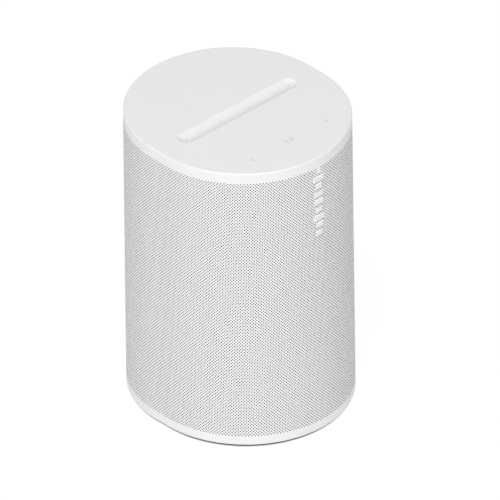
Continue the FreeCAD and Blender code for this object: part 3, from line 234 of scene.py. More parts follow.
class Finish:
    """One material being put together round its Principled shader."""

    def __init__(self, name):
        self.material = bpy.data.materials.new(name)
        self.material.use_nodes = True
        self.tree = self.material.node_tree
        self.shader = self.tree.nodes["Principled BSDF"]

    def node(self, kind, settings=None, sockets=None, out=0):
        """A node of any kind: its settings first, then its sockets' values or links."""
        made = self.tree.nodes.new(kind)
        for key, value in (settings or {}).items():
            setattr(made, key, value)
        for key, value in (sockets or {}).items():
            self.feed(made.inputs[key], value)
        return Wire(self, made.outputs[out])

    def feed(self, socket, value):
        """Link a wire to the socket, or set its value."""
        if isinstance(value, Wire):
            self.tree.links.new(value.socket, socket)
        elif socket.type == "RGBA" and len(value) == 3:
            socket.default_value = (*value, 1.0)
        else:
            socket.default_value = value

    def place(self, stretch=(1.0, 1.0, 1.0)):
        """The point on the piece, stretched along each axis."""
        spot = self.node("ShaderNodeTexCoord", out=3)
        if stretch == (1.0, 1.0, 1.0):
            return spot
        return self.node("ShaderNodeMapping", {}, {"Vector": spot, "Scale": stretch})

    def axis(self, letter):
        """One coordinate of the point on the piece."""
        return self.node(
            "ShaderNodeSeparateXYZ", {}, {0: self.place()}, out="XYZ".index(letter)
        )

    def noise(self, size, detail=2.0, stretch=(1.0, 1.0, 1.0)):
        """Soft random values, about 0.5, with lumps of that size."""
        return self.node(
            "ShaderNodeTexNoise",
            {},
            {"Vector": self.place(stretch), "Scale": 1.0 / size, "Detail": detail},
        )

    def cells(self, size, feature="F1", stretch=(1.0, 1.0, 1.0)):
        """Distance from scattered points that far apart."""
        return self.node(
            "ShaderNodeTexVoronoi",
            {"feature": feature},
            {"Vector": self.place(stretch), "Scale": 1.0 / size},
        )

    def waves(self, size, along, bend=0.0):
        """Waves along one axis, from 0 to 1, with crests pi times the size apart."""
        return self.node(
            "ShaderNodeTexWave",
            {"wave_type": "BANDS", "bands_direction": along},
            {
                "Vector": self.place(),
                "Scale": 0.1 / size,
                "Distortion": bend,
            },
            out=1,
        )

    def blend(self, factor, first, second):
        """The first colour where the factor is 0 and the second where it is 1."""
        return self.node(
            "ShaderNodeMix",
            {"data_type": "RGBA"},
            {0: factor, 6: first, 7: second},
            out=2,
        )

    def shaded(self, tone, factor, amount):
        """A colour that runs from a little darker to a little lighter."""
        dark = tuple(c * (1.0 - amount) for c in tone)
        light = tuple(min(1.0, c * (1.0 + amount)) for c in tone)
        return self.blend(factor, dark, light)

    def dress(self, base, roughness, height=None, depth=0.0, **constants):
        """Feed the shader, with bumps of that depth, and its plain values."""
        self.feed(self.shader.inputs["Base Color"], base)
        self.feed(self.shader.inputs["Roughness"], roughness)
        if height is not None:
            bumps = self.node(
                "ShaderNodeBump",
                {},
                {"Height": height, "Distance": depth, "Strength": 1.0},
            )
            self.feed(self.shader.inputs["Normal"], bumps)
        for name, value in constants.items():
            self.feed(self.shader.inputs[name.replace("_", " ")], value)
        return self.material


def moulded(finish, tone, rough=0.5, grain=0.28, depth=0.006, mottle=0.012, **more):
    """Spark-textured moulded plastic: fine even grain and very faint flow clouds."""
    fine = finish.noise(grain * MM, 3.0)
    cloud = finish.noise(30 * MM, 2.0)
    return finish.dress(
        finish.shaded(tone, cloud, mottle),
        rough + 0.08 * (cloud - 0.5) + 0.06 * (fine - 0.5),
        fine,
        depth * MM,
        **more,
    )


def perforated(finish, tone, shadow):
    """The perforated wall: fine texture outside, and holes whose colour is darkened inwards as painted shade."""
    fine = finish.noise(0.28 * MM, 3.0)
    cloud = finish.noise(30 * MM, 2.0)
    # painted shade: the colour runs to the shadow colour by each corner's depth in a hole
    inside = finish.node("ShaderNodeAttribute", {"attribute_name": "inside"}, out=2)
    return finish.dress(
        finish.blend(inside, finish.shaded(tone, cloud, 0.008), shadow),
        0.5 + 0.08 * (cloud - 0.5) + 0.2 * inside,
        fine,
        0.003 * MM,
    )


def plated(finish, tone, rough=0.3, stretch=(1.0, 12.0, 1.0), mottle=0.06, **more):
    """Drawn or turned metal: fine lines along one axis, and cloudy plating."""
    line = finish.noise(0.5 * MM, 2.0, stretch)
    cloud = finish.noise(9 * MM, 3.0)
    return finish.dress(
        finish.shaded(tone, cloud, mottle),
        rough + 0.15 * (line - 0.5) + 0.12 * (cloud - 0.5),
        line,
        0.004 * MM,
        Metallic=1.0,
        **more,
    )


def rubber(finish, tone, rough=0.7, grain=0.5, depth=0.02):
    """Rubber or closed foam: small cells and dusty patches."""
    cell = finish.cells(grain * MM)
    dust = finish.noise(14 * MM, 4.0)
    return finish.dress(
        finish.shaded(tone, dust, 0.18),
        rough + 0.15 * (dust - 0.5),
        cell,
        depth * MM,
        Specular_IOR_Level=0.35,
    )


def circuit_board(finish, tone):
    """Solder mask over copper: raised tracks, pads and a faint glass weave."""
    tracks = finish.cells(4.2 * MM, "DISTANCE_TO_EDGE")
    line = 1.0 - tracks.step(0.05, 0.02)
    pads = 1.0 - finish.cells(3.1 * MM).step(0.16, 0.02)
    weave = finish.noise(0.35 * MM, 2.0)
    lighter = tuple(c * 1.9 + 0.01 for c in tone)
    green = finish.blend(line * 0.75, tone, lighter)
    return finish.dress(
        finish.blend(pads, green, (0.55, 0.53, 0.48)),
        0.34 + 0.1 * (weave - 0.5) - 0.06 * pads,
        line * 0.7 + pads * 0.5 + weave * 0.1,
        0.03 * MM,
    )


def woven(finish, tone, thread=0.55, rough=0.8, depth=0.08):
    """Plain weave: threads along two axes pass over each other in turn."""
    across = finish.waves(thread * MM, "X")
    along = finish.waves(thread * MM, "Z")
    crossing = (across - 0.5) * (along - 0.5) * 2.0 + 0.5
    stain = finish.noise(6 * MM, 3.0)
    return finish.dress(
        finish.shaded(tone, 0.6 * crossing + 0.4 * stain, 0.28),
        rough + 0.1 * (stain - 0.5),
        crossing,
        depth * MM,
        Sheen_Weight=0.15,
    )


def wadding(finish, tone):
    """Loose polyester fibres: tangled strands over soft lumps."""
    strand = finish.noise(0.7 * MM, 6.0, (1.0, 5.0, 1.0))
    cross = finish.noise(0.7 * MM, 6.0, (5.0, 1.0, 2.0))
    lump = finish.noise(8 * MM, 3.0)
    fibres = strand * cross * 2.0
    return finish.dress(
        finish.shaded(tone, fibres * 0.7 + lump * 0.3, 0.16),
        0.9 + 0.08 * (lump - 0.5),
        fibres + lump * 0.5,
        0.5 * MM,
        Sheen_Weight=0.35,
    )


def cast(finish, tone, rough=0.6, grain=0.45, depth=0.03, metallic=0.0):
    """Powder coat or sintered ferrite: orange peel, pores and worn grey patches."""
    peel = finish.noise(grain * MM, 3.0)
    wear = finish.noise(11 * MM, 5.0)
    pores = 1.0 - finish.cells(1.3 * MM).step(0.10, 0.05)
    worn = tuple(c * 1.7 + 0.01 for c in tone)
    return finish.dress(
        finish.blend(wear.step(0.55, 0.25) * 0.5 + pores * 0.3, tone, worn),
        rough + 0.18 * (wear - 0.5) + 0.1 * pores,
        peel - pores * 0.4,
        depth * MM,
        Metallic=metallic,
    )


def wound(finish, tone, wire=0.32, along="Y"):
    """Enamelled wire wound side by side, each turn a small ridge."""
    turns = finish.waves(wire * MM, along, 0.15)
    varnish = finish.noise(2.5 * MM, 3.0)
    return finish.dress(
        finish.shaded(tone, turns * 0.6 + varnish * 0.4, 0.3),
        0.28 + 0.12 * (varnish - 0.5),
        turns,
        0.12 * MM,
        Metallic=0.9,
        Coat_Weight=0.4,
    )


def fibre_cone(finish, tone):
    """Pressed paper fibre: short matted hairs."""
    hair = finish.noise(0.6 * MM, 6.0, (3.0, 1.0, 1.0))
    cross = finish.noise(0.6 * MM, 6.0, (1.0, 1.0, 3.0))
    return finish.dress(
        finish.shaded(tone, hair * 0.5 + cross * 0.5, 0.5),
        0.62 + 0.2 * (hair - 0.5),
        hair + cross,
        0.05 * MM,
    )


def light_guide(finish, tone):
    """Clear moulded acrylic with faint milky streaks."""
    milk = finish.noise(1.4 * MM, 2.0)
    return finish.dress(
        finish.shaded(tone, milk, 0.05),
        0.12 + 0.05 * milk,
        milk,
        0.002 * MM,
        Transmission_Weight=0.35,
        IOR=1.49,
    )


def taped(finish, tone, core):
    """Winding tape across the middle, with the dark core above and below."""
    low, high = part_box("transformer")
    middle = (low + high) / 2
    reach = (high.z - low.z) / 2
    far = (finish.axis("Z") - middle.z).absolute()
    bare = far.step(reach * 0.62, 0.2 * MM)
    laps = finish.waves(2.4 * MM, "Z", 0.4)
    grain = finish.noise(0.6 * MM, 3.0)
    return finish.dress(
        finish.blend(bare, finish.shaded(tone, laps, 0.14), core),
        0.32 + 0.4 * bare + 0.1 * (grain - 0.5),
        laps * (1.0 - bare) + grain * bare,
        0.06 * MM,
    )


def printed_ribbon(finish, tone):
    """Flat cable: copper conductors seen faintly through a white film."""
    strips = finish.waves(1.0 * MM, "X")
    grain = finish.noise(0.8 * MM, 2.0)
    return finish.dress(
        finish.blend(strips.step(0.45, 0.1) * 0.35, tone, (0.62, 0.50, 0.40)),
        0.38 + 0.1 * (grain - 0.5),
        strips,
        0.04 * MM,
    )


def finishes():
    """A new finish for each slot of the record."""
    tones = bpy.context.scene.speaker_colours
    shell, black, grille = tuple(tones.shell), tuple(tones.black), tuple(tones.grille)
    resin = (0.02, 0.02, 0.022)
    makers = {
        "shell_white": (moulded, shell, {"rough": 0.42}),
        "grille_white": (perforated, grille, {"shadow": tuple(tones.holes)}),
        "icon_grey": (moulded, tuple(tones.icons), {"rough": 0.4, "depth": 0.002}),
        "lens_clear": (light_guide, (0.82, 0.83, 0.84), {}),
        "foot_rubber": (rubber, tuple(tones.foot), {}),
        "brass_insert": (plated, (0.80, 0.57, 0.25), {"rough": 0.28}),
        "screw_steel": (plated, (0.42, 0.42, 0.44), {"rough": 0.35}),
        "panel_white": (moulded, shell, {"rough": 0.36, "grain": 0.2, "depth": 0.003}),
        "socket_steel": (plated, (0.62, 0.62, 0.64), {"stretch": (12.0, 1.0, 1.0)}),
        "inlet_black": (moulded, resin, {"rough": 0.45, "mottle": 0.2}),
        "board_green": (circuit_board, tuple(tones.board), {}),
        "chip_black": (moulded, resin, {"rough": 0.38, "mottle": 0.2}),
        "part_mixed": (moulded, (0.05, 0.05, 0.07), {"rough": 0.35, "mottle": 0.3}),
        "adhesive_foam": (rubber, (0.03, 0.03, 0.032), {"grain": 0.3}),
        "enclosure_black": (
            moulded,
            black,
            {"grain": 0.5, "depth": 0.02, "mottle": 0.2},
        ),
        "gasket_foam": (rubber, (0.016, 0.016, 0.016), {"grain": 0.35, "depth": 0.04}),
        "damping_wool": (wadding, (0.70, 0.70, 0.66), {}),
        "basket_black": (cast, (0.018, 0.018, 0.02), {"rough": 0.5}),
        "cone_black": (fibre_cone, (0.03, 0.03, 0.032), {}),
        "surround_rubber": (
            rubber,
            (0.014, 0.014, 0.014),
            {"rough": 0.5, "depth": 0.01},
        ),
        "spider_cloth": (woven, (0.50, 0.29, 0.09), {}),
        "coil_copper": (wound, (0.70, 0.30, 0.14), {}),
        "plate_steel": (plated, (0.56, 0.56, 0.58), {"stretch": (1.0, 1.0, 8.0)}),
        "ferrite": (cast, (0.028, 0.028, 0.032), {"rough": 0.42, "metallic": 0.35}),
        "dome_silk": (
            woven,
            (0.022, 0.022, 0.024),
            {"thread": 0.3, "rough": 0.5, "depth": 0.03},
        ),
        "motor_black": (cast, (0.02, 0.02, 0.022), {"rough": 0.35, "metallic": 0.6}),
        "shield_tin": (plated, (0.70, 0.70, 0.71), {"rough": 0.33}),
        "sink_aluminium": (plated, (0.62, 0.63, 0.65), {"stretch": (8.0, 8.0, 1.0)}),
        "pad_blue": (rubber, (0.16, 0.30, 0.50), {"grain": 0.9, "rough": 0.6}),
        "aerial_copper": (plated, (0.80, 0.44, 0.25), {"rough": 0.25}),
        "tape_yellow": (taped, (0.72, 0.46, 0.03), {"core": resin}),
        "can_sleeve": (moulded, (0.012, 0.016, 0.045), {"rough": 0.22, "mottle": 0.2}),
        "ribbon_white": (printed_ribbon, (0.72, 0.72, 0.70), {}),
        "lead_sleeve": (rubber, (0.26, 0.02, 0.012), {"rough": 0.42, "depth": 0.005}),
    }
    return {
        slot: maker(Finish("finish_" + slot), tone, **more)
        for slot, (maker, tone, more) in makers.items()
    }


MADE = {}


def finish_of(slot):
    """The finish of a slot; all are made the first time that one is asked for."""
    if not MADE:
        MADE.update(finishes())
    return MADE[slot]


# ---------------------------------------------------------- meshes


def surface(name, points, faces, smooth=True, flat_map=None, inside=None):
    """A mesh piece from an array of points and arrays of three- or four-cornered faces.

    smooth is one value or one for each face. flat_map and inside hold a place on the
    piece's flat map, and how deep in a hole it is, which sets its painted shade, for each corner of each face.
    """
    faces = [faces] if isinstance(faces, np.ndarray) else faces
    corners = np.concatenate([f.ravel() for f in faces]).astype(np.int32)
    totals = np.concatenate([np.full(len(f), f.shape[1], np.int32) for f in faces])
    mesh = bpy.data.meshes.new(name)
    mesh.vertices.add(len(points))
    mesh.vertices.foreach_set("co", np.asarray(points, np.float32).ravel())
    mesh.loops.add(len(corners))
    mesh.loops.foreach_set("vertex_index", corners)
    mesh.polygons.add(len(totals))
    mesh.polygons.foreach_set("loop_start", np.cumsum(totals) - totals)
    soft = np.broadcast_to(smooth, len(totals)).copy()
    mesh.polygons.foreach_set("use_smooth", soft)
    if flat_map is not None:
        layer = mesh.uv_layers.new(name="OFBake")
        layer.data.foreach_set("uv", np.asarray(flat_map, np.float32).ravel())
    if inside is not None:
        layer = mesh.attributes.new("inside", "FLOAT", "CORNER")
        layer.data.foreach_set("value", np.asarray(inside, np.float32).ravel())
    mesh.update(calc_edges=True)
    if not soft.all():
        # a hard face's edges are sharp, so that it doesn't bend its neighbours' shading
        edges = np.empty(len(corners), np.int32)
        mesh.loops.foreach_get("edge_index", edges)
        sharp = np.zeros(len(mesh.edges), bool)
        sharp[edges[np.repeat(~soft, totals)]] = True
        mesh.edges.foreach_set("use_edge_sharp", sharp)
    piece = bpy.data.objects.new(name, mesh)
    bpy.context.scene.collection.objects.link(piece)
    return piece


def spots_of(mesh):
    """A mesh's points, one row each."""
    spots = np.empty(len(mesh.vertices) * 3, np.float32)
    mesh.vertices.foreach_get("co", spots)
    return spots.reshape(-1, 3)


def ring_faces(rings, steps, closed=False):
    """Faces between neighbouring rings; closed joins the last ring to the first."""
    joins = rings if closed else rings - 1
    ring, step = np.meshgrid(np.arange(joins), np.arange(steps), indexing="ij")
    after, above = (step + 1) % steps, (ring + 1) % rings
    corners = [
        ring * steps + step,
        above * steps + step,
        above * steps + after,
        ring * steps + after,
    ]
    return np.stack(corners, axis=-1).reshape(-1, 4)


def pole_faces(rings, steps):
    """Triangles that join the first and last ring to the two points after the rings."""
    step = np.arange(steps)
    after = (step + 1) % steps
    last = (rings - 1) * steps
    pole = np.full(steps, rings * steps)
    return [
        np.stack([pole, step, after], axis=-1),
        np.stack([pole + 1, last + after, last + step], axis=-1),
    ]


def outward(points, faces):
    """The same faces, turned round if the closed form they make is inside out.

    A closed form's volume is a sixth of the sum, over its triangles, of the first
    corner's dot product with the cross product of the other two.
    """
    volume = 0.0
    for block in faces:
        first = points[block[:, 0]]
        for k in range(1, block.shape[1] - 1):
            turn = np.cross(points[block[:, k]], points[block[:, k + 1]])
            volume += np.einsum("ij,ij->", first, turn)
    return faces if volume > 0 else [block[:, ::-1] for block in faces]


def thickened(path, thickness):
    """A closed outline round an open path of (radius, depth), in millimetres.

    Each point moves half the thickness to either side along the path's normal, and
    the second side runs back. A path that starts on the axis stays on it.
    """
    path = np.asarray(path, float)
    along = np.gradient(path, axis=0)
    along /= np.linalg.norm(along, axis=1, keepdims=True)
    across = np.stack([along[:, 1], -along[:, 0]], axis=1) * thickness / 2
    if path[0, 0] == 0:
        across[0] = (0.0, np.copysign(thickness / 2, across[1, 1]))
    return np.concatenate([path + across, (path - across)[::-1]])


def turned(name, outline, origin, inward, steps):
    """A piece turned round an axis from a closed outline of (radius, depth), in mm.

    A point is the origin, plus the depth along the axis, plus the radius along a
    direction that turns round it. Points on the axis become poles of triangles.
    """
    outline = np.asarray(outline, float) * MM
    inward = np.asarray(inward, float)
    upward = np.array([0.0, 0.0, 1.0])
    sideways = np.cross(upward, inward)
    turn = np.arange(steps) * math.tau / steps
    spoke = np.cos(turn)[:, None] * sideways + np.sin(turn)[:, None] * upward
    on_axis = outline[:, 0] == 0
    rings = outline[~on_axis] if not on_axis.any() else outline[1:-1]
    points = (
        np.asarray(origin)
        + rings[:, 1, None, None] * inward
        + rings[:, 0, None, None] * spoke
    ).reshape(-1, 3)
    closed = not on_axis.any()
    faces = [ring_faces(len(rings), steps, closed)]
    if not closed:
        ends = np.asarray(origin) + outline[[0, -1], 1, None] * inward
        points = np.concatenate([points, ends])
        faces += pole_faces(len(rings), steps)
    return surface(name, points, outward(points, faces))


def finish_piece(piece, slot, body, *replaced):
    """Give a new piece its finish and its body, and hide the CAD nodes it stands for."""
    piece.data.materials.clear()
    piece.data.materials.append(finish_of(slot))
    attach(piece, body)
    if replaced:
        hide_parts(*replaced)
    return piece


def dress_nodes(*names):
    """Put the finish of its slot on each CAD node that stays."""
    for name in names:
        for slot in NODES[name].material_slots:
            slot.material = finish_of(SLOT_OF[name])


class Wall:
    """The line of the cabinet's wall, followed from the middle of the rear.

    The line is two half circles joined by two flats. A place on it is a middle point
    on the Y axis plus a radius in a direction that turns with the distance: along a
    half circle the direction turns and the middle stays, and along a flat the middle
    moves and the direction stays.
    """

    def __init__(self, radius, half_flat):
        quarter = math.pi / 2 * radius
        self.radius = radius
        runs = [0.0, quarter, 2 * half_flat, 2 * quarter, 2 * half_flat, quarter]
        self.marks = np.cumsum(runs)
        self.turns = np.array([0, 1, 1, 3, 3, 4]) * (math.pi / 2)
        self.middles = np.array([1, 1, -1, -1, 1, 1]) * half_flat
        self.length = self.marks[-1]

    def points(self, distance, height, inset):
        """Points at those distances and heights, moved in from the outside."""
        distance = np.mod(distance, self.length)
        turn = np.interp(distance, self.marks, self.turns)
        middle = np.interp(distance, self.marks, self.middles)
        reach = self.radius - inset
        return np.stack(
            [-reach * np.sin(turn), middle + reach * np.cos(turn), height + 0.0 * turn],
            axis=-1,
        )


def cabinet_wall():
    """The wall's line, from the grille's own box."""
    radius = bpy.context.scene.speaker_sizes.end_radius
    return Wall(radius, GRILLE_HIGH.y - radius)


# ---------------------------------------------------------- perforated wall


def plain_places(distance, height, wall, sizes):
    """True where the wall has no hole: under the badge's bars and round the light."""
    spot = wall.points(distance, height, 0.0)
    front = spot[..., 1] < 0
    plain = np.zeros(distance.shape, bool)
    gap = sizes.badge_clearance
    for low, high in node_islands("badge"):
        plain |= (
            front
            & (spot[..., 0] > low[0] - gap)
            & (spot[..., 0] < high[0] + gap)
            & (height > low[2] - gap)
            & (height < high[2] + gap)
        )
    low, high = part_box("status_light_pipe")
    middle = (low + high) / 2
    near = np.hypot(spot[..., 0] - middle.x, height - middle.z) < sizes.light_clearance
    return plain | (front & near)


def node_islands(name):
    """The lowest and highest corner of each separate lump of a CAD node along Z."""
    spots = spots_of(NODES[name].data)
    spots = spots[np.argsort(spots[:, 2])]
    cuts = np.nonzero(np.diff(spots[:, 2]) > 1.5 * MM)[0] + 1
    groups = np.split(spots, cuts)
    # a bar shows as two groups, its lower edge and its upper edge
    lumps = [np.concatenate(pair) for pair in zip(groups[0::2], groups[1::2])]
    return [(lump.min(0), lump.max(0)) for lump in lumps]


def perforated_band(number, first, last, levels, wall, sizes):
    """One band of the perforated wall, closed all round.

    The wall is a grid of half-hole columns and rows. A hole's cell takes two columns
    of one row, and alternate rows start one column later. Six points on the cell's
    edge join six points on the hole, which is a hexagon, on the outside and again on
    the inside, and the two hexagons are joined through the wall.
    """
    columns = 2 * sizes.holes_round
    pitch = wall.length / columns
    rows = np.arange(first, last)
    row, column = np.meshgrid(rows, np.arange(columns), indexing="ij")
    centre = (levels[row] + levels[row + 1]) / 2
    # which half columns exist: not those in the rear window
    signed = np.where(column < columns // 2, column, column - columns)
    window = round(WINDOW_HALF / pitch)
    in_window = (signed >= -window) & (signed < window)
    in_window &= (centre > WINDOW_EDGES[0]) & (centre < WINDOW_EDGES[1])
    present = ~in_window
    starts = (column % 2) == (row % 2)
    whole = present & np.roll(present, -1, axis=1)
    plain = plain_places((column + 1) * pitch, centre, wall, sizes)
    holed = starts & whole & ~plain
    solid = present & ~holed & ~np.roll(holed, 1, axis=1)

    # grid points, outer then inner
    level, place = np.meshgrid(
        levels[first : last + 1], np.arange(columns) * pitch, indexing="ij"
    )
    outer = wall.points(place, level, 0.0).reshape(-1, 3)
    inner = wall.points(place, level, sizes.wall).reshape(-1, 3)
    grid_count = len(outer)

    def grid(r, c, side):
        return side * grid_count + (r - first) * columns + c % columns

    hole_row, hole_column = np.nonzero(holed)
    r, c = hole_row + first, hole_column
    turn = np.radians([-150.0, -90.0, -30.0, 30.0, 90.0, 150.0])
    radius = sizes.hole / 2
    hole_place = ((c + 1) * pitch)[:, None] + radius * np.cos(turn)
    hole_level = ((levels[r] + levels[r + 1]) / 2)[:, None] + radius * np.sin(turn)
    hole_outer = wall.points(hole_place, hole_level, 0.0).reshape(-1, 3)
    hole_inner = wall.points(hole_place, hole_level, sizes.wall).reshape(-1, 3)
    hole_ids = 2 * grid_count + np.arange(len(c) * 6).reshape(-1, 6)
    points = np.concatenate([outer, inner, hole_outer, hole_inner])
    deep_ids = hole_ids + len(c) * 6

    # flat map: the outside in the lower half and the inside in the upper half, each
    # with a narrow margin
    low, high = levels[first], levels[last]

    def flat(distance, height, side):
        u = 0.002 + 0.99 * distance / (wall.length + 2 * pitch)
        v = 0.01 + 0.47 * (height - low) / (high - low) + 0.5 * side
        return np.stack([u, v + 0.0 * u], axis=-1)

    # insides: how much painted hole shade each corner takes: 0 outside, 0.8 at a hole's outer edge, 1 deeper down
    # and on the inner face
    faces, maps, soft, insides = [], [], [], []

    def add(corners, flats, smooth, depths=(0.0, 0.0, 0.0, 0.0)):
        faces.append(np.stack(corners, axis=-1).reshape(-1, 4))
        maps.append(np.stack(flats, axis=-2).reshape(-1, 4, 2))
        soft.append(np.full(len(faces[-1]), smooth))
        insides.append(np.tile(np.float32(depths), (len(faces[-1]), 1)))

    rim_c = np.array([0, 1, 2, 2, 1, 0])
    rim_r = np.array([0, 0, 0, 1, 1, 1])
    rim_column = c[:, None] + rim_c
    rim_row = r[:, None] + rim_r
    nxt = [1, 2, 3, 4, 5, 0]
    for side, ids in ((0, hole_ids), (1, deep_ids)):
        rim = grid(rim_row, rim_column, side)
        rim_flat = flat(rim_column * pitch, levels[rim_row], side)
        hole_flat = flat(hole_place, hole_level, side)
        ring = (rim, rim[:, nxt], ids[:, nxt], ids)
        ring_flat = (rim_flat, rim_flat[:, nxt], hole_flat[:, nxt], hole_flat)
        turned_ring = ring if side == 0 else ring[::-1]
        turned_flat = ring_flat if side == 0 else ring_flat[::-1]
        add(turned_ring, turned_flat, True, (float(side),) * 4)
    centre_place = ((c + 1) * pitch)[:, None]
    centre_level = ((levels[r] + levels[r + 1]) / 2)[:, None]
    edge = flat(hole_place, hole_level, 0)
    deep = flat(
        centre_place + 0.5 * (hole_place - centre_place),
        centre_level + 0.5 * (hole_level - centre_level),
        0,
    )
    add(
        (hole_ids, hole_ids[:, nxt], deep_ids[:, nxt], deep_ids),
        (edge, edge[:, nxt], deep[:, nxt], deep),
        False,
        (0.8, 0.8, 1.0, 1.0),
    )
    # plain half cells
    sr, sc = np.nonzero(solid)
    sr = sr + first
    for side in (0, 1):
        corner_c = (sc, sc + 1, sc + 1, sc)
        corner_r = (sr, sr, sr + 1, sr + 1)
        ids = [grid(a, b, side) for a, b in zip(corner_r, corner_c)]
        flats = [flat(b * pitch, levels[a], side) for a, b in zip(corner_r, corner_c)]
        add(ids[:: 1 - 2 * side], flats[:: 1 - 2 * side], True, (float(side),) * 4)
    # closing strips wherever a present half cell meets an absent one
    padded = np.pad(present, ((1, 1), (0, 0)))
    here = padded[1:-1]
    edges = (
        (here & ~padded[:-2], (0, 1), (0, 0)),
        (here & ~padded[2:], (1, 0), (1, 1)),
        (here & ~np.roll(here, 1, axis=1), (0, 0), (1, 0)),
        (here & ~np.roll(here, -1, axis=1), (1, 1), (0, 1)),
    )
    for mask, step_c, step_r in edges:
        er, ec = np.nonzero(mask)
        er = er + first
        # from the second named corner to the first, so that the strip faces outwards
        ends = [(er + step_r[k], ec + step_c[k]) for k in (1, 0)]
        ids = [
            grid(*ends[0], 0),
            grid(*ends[1], 0),
            grid(*ends[1], 1),
            grid(*ends[0], 1),
        ]
        spots = [flat(b * pitch, levels[a], 0) for a, b in ends]
        add(ids, [spots[0], spots[1], spots[1], spots[0]], False)

    return surface(
        f"grille_band_{number}",
        points,
        np.concatenate(faces),
        np.concatenate(soft),
        np.concatenate(maps),
        np.concatenate(insides),
    )


def row_levels(sizes):
    """Heights of the rows' edges, spaced so that the window's edges fall on rows."""
    low, high = GRILLE_LOW.z, GRILLE_HIGH.z
    rows = sizes.hole_rows
    pitch = (high - low) / rows
    knots = [round((edge - low) / pitch) for edge in WINDOW_EDGES]
    return np.interp(
        np.arange(rows + 1), [0, *knots, rows], [low, *WINDOW_EDGES, high]
    )


class SPEAKER_OT_grille(bpy.types.Operator):
    """Make the perforated wall in bands"""

    bl_idname = "speaker.grille"
    bl_label = "Perforated wall"

    def execute(self, context):
        sizes = context.scene.speaker_sizes
        wall = cabinet_wall()
        levels = row_levels(sizes)
        cuts = np.linspace(0, sizes.hole_rows, sizes.bands + 1).astype(int)
        for number, (first, last) in enumerate(zip(cuts[:-1], cuts[1:]), start=1):
            band = perforated_band(number, first, last, levels, wall, sizes)
            finish_piece(band, "grille_white", "housing", "grille")
        return {"FINISHED"}


# ---------------------------------------------------------- drivers


def bowed(radius, rise):
    """Depths of a shallow cap over radii from 0 to its rim, as part of a ball.

    The ball's radius is the rim's squared plus the rise's squared, over twice the
    rise, and a depth is how far the ball falls away from its front point.
    """
    reach = np.linspace(0.0, radius, 40)
    ball = (radius**2 + rise**2) / (2 * rise)
    return reach, ball - np.sqrt(ball**2 - reach**2)


def between(piece):
    """Bake a ring's placement into its points, and read the points.
    """
    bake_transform(piece)
    spots = spots_of(piece.data)


class SPEAKER_OT_woofer(bpy.types.Operator):
    """Make the woofer's cone, cap, roll surround and corrugated spider"""

    bl_idname = "speaker.woofer"
    bl_label = "Woofer"

    def execute(self, context):
        sizes = context.scene.speaker_sizes
        low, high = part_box("woofer_gasket")
        origin = ((low.x + high.x) / 2, high.y, (low.z + high.z) / 2)
        inward, steps = (0.0, 1.0, 0.0), sizes.turned_steps
        self.cone(origin, inward, steps)
        self.cap(origin, inward, steps)
        self.surround(origin, inward, steps)
        self.spider(origin, inward, steps)
        return {"FINISHED"}

    def cone(self, origin, inward, steps):
        """A straight cone with a flat lip and four shallow pressed rings.

        Along the cone, from its edge to its neck, the depth also rises and falls by a
        small wave that is zero at both ends.
        """
        part = np.linspace(0.0, math.pi, 60)
        slope = np.linspace((29.35, -2.7), (13.35, 13.6), 60)
        slope[:, 1] += 0.16 * np.sin(part) * np.sin(8 * part)
        path = np.concatenate([[(30.8, -2.72), (30.2, -2.72)], slope])
        piece = turned("cone", thickened(path, 0.56), origin, inward, steps)
        finish_piece(piece, "cone_black", "woofer_diaphragm", "woofer_cone")

    def cap(self, origin, inward, steps):
        """A shallow dome over the voice coil."""
        reach, fall = bowed(15.2, 4.7)
        path = np.stack([reach, 5.65 + fall], axis=1)
        piece = turned("dust_cap", thickened(path, 0.5), origin, inward, steps)
        finish_piece(piece, "cone_black", "woofer_diaphragm", "woofer_dust_cap")

    def surround(self, origin, inward, steps):
        """A half roll between two flat lips."""
        turn = np.linspace(0.0, math.pi, 40)
        roll = np.stack([32.95 + 2.1 * np.cos(turn), -3.3 - 2.1 * np.sin(turn)], axis=1)
        outer_lip = [(36.7, -3.3), (36.0, -3.3)]
        inner_lip = [(30.1, -3.3), (29.1, -3.3)]
        path = np.concatenate([outer_lip, roll, inner_lip])
        piece = turned("surround", thickened(path, 0.5), origin, inward, steps)
        self.hand_over(piece, "surround_rubber", "woofer_surround", origin, 35.2, 30.8)

    def spider(self, origin, inward, steps):
        """A cloth disc whose depth is a cosine of the radius, nine waves wide."""
        reach = np.linspace(13.1, 25.3, 145)
        wave = 0.36 * np.cos(np.linspace(0.0, 9 * math.pi, 145))
        path = np.stack([reach, 15.6 + wave], axis=1)
        piece = turned("spider", thickened(path, 0.4), origin, inward, steps)
        self.hand_over(piece, "spider_cloth", "woofer_spider", origin, 24.9, 13.6)

    def hand_over(self, piece, slot, node, origin, outer, inner):
        """Finish a ring between the basket and the cone, and hide the node it stands for."""
        piece.data.materials.append(finish_of(slot))
        between(piece)
        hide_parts(node)


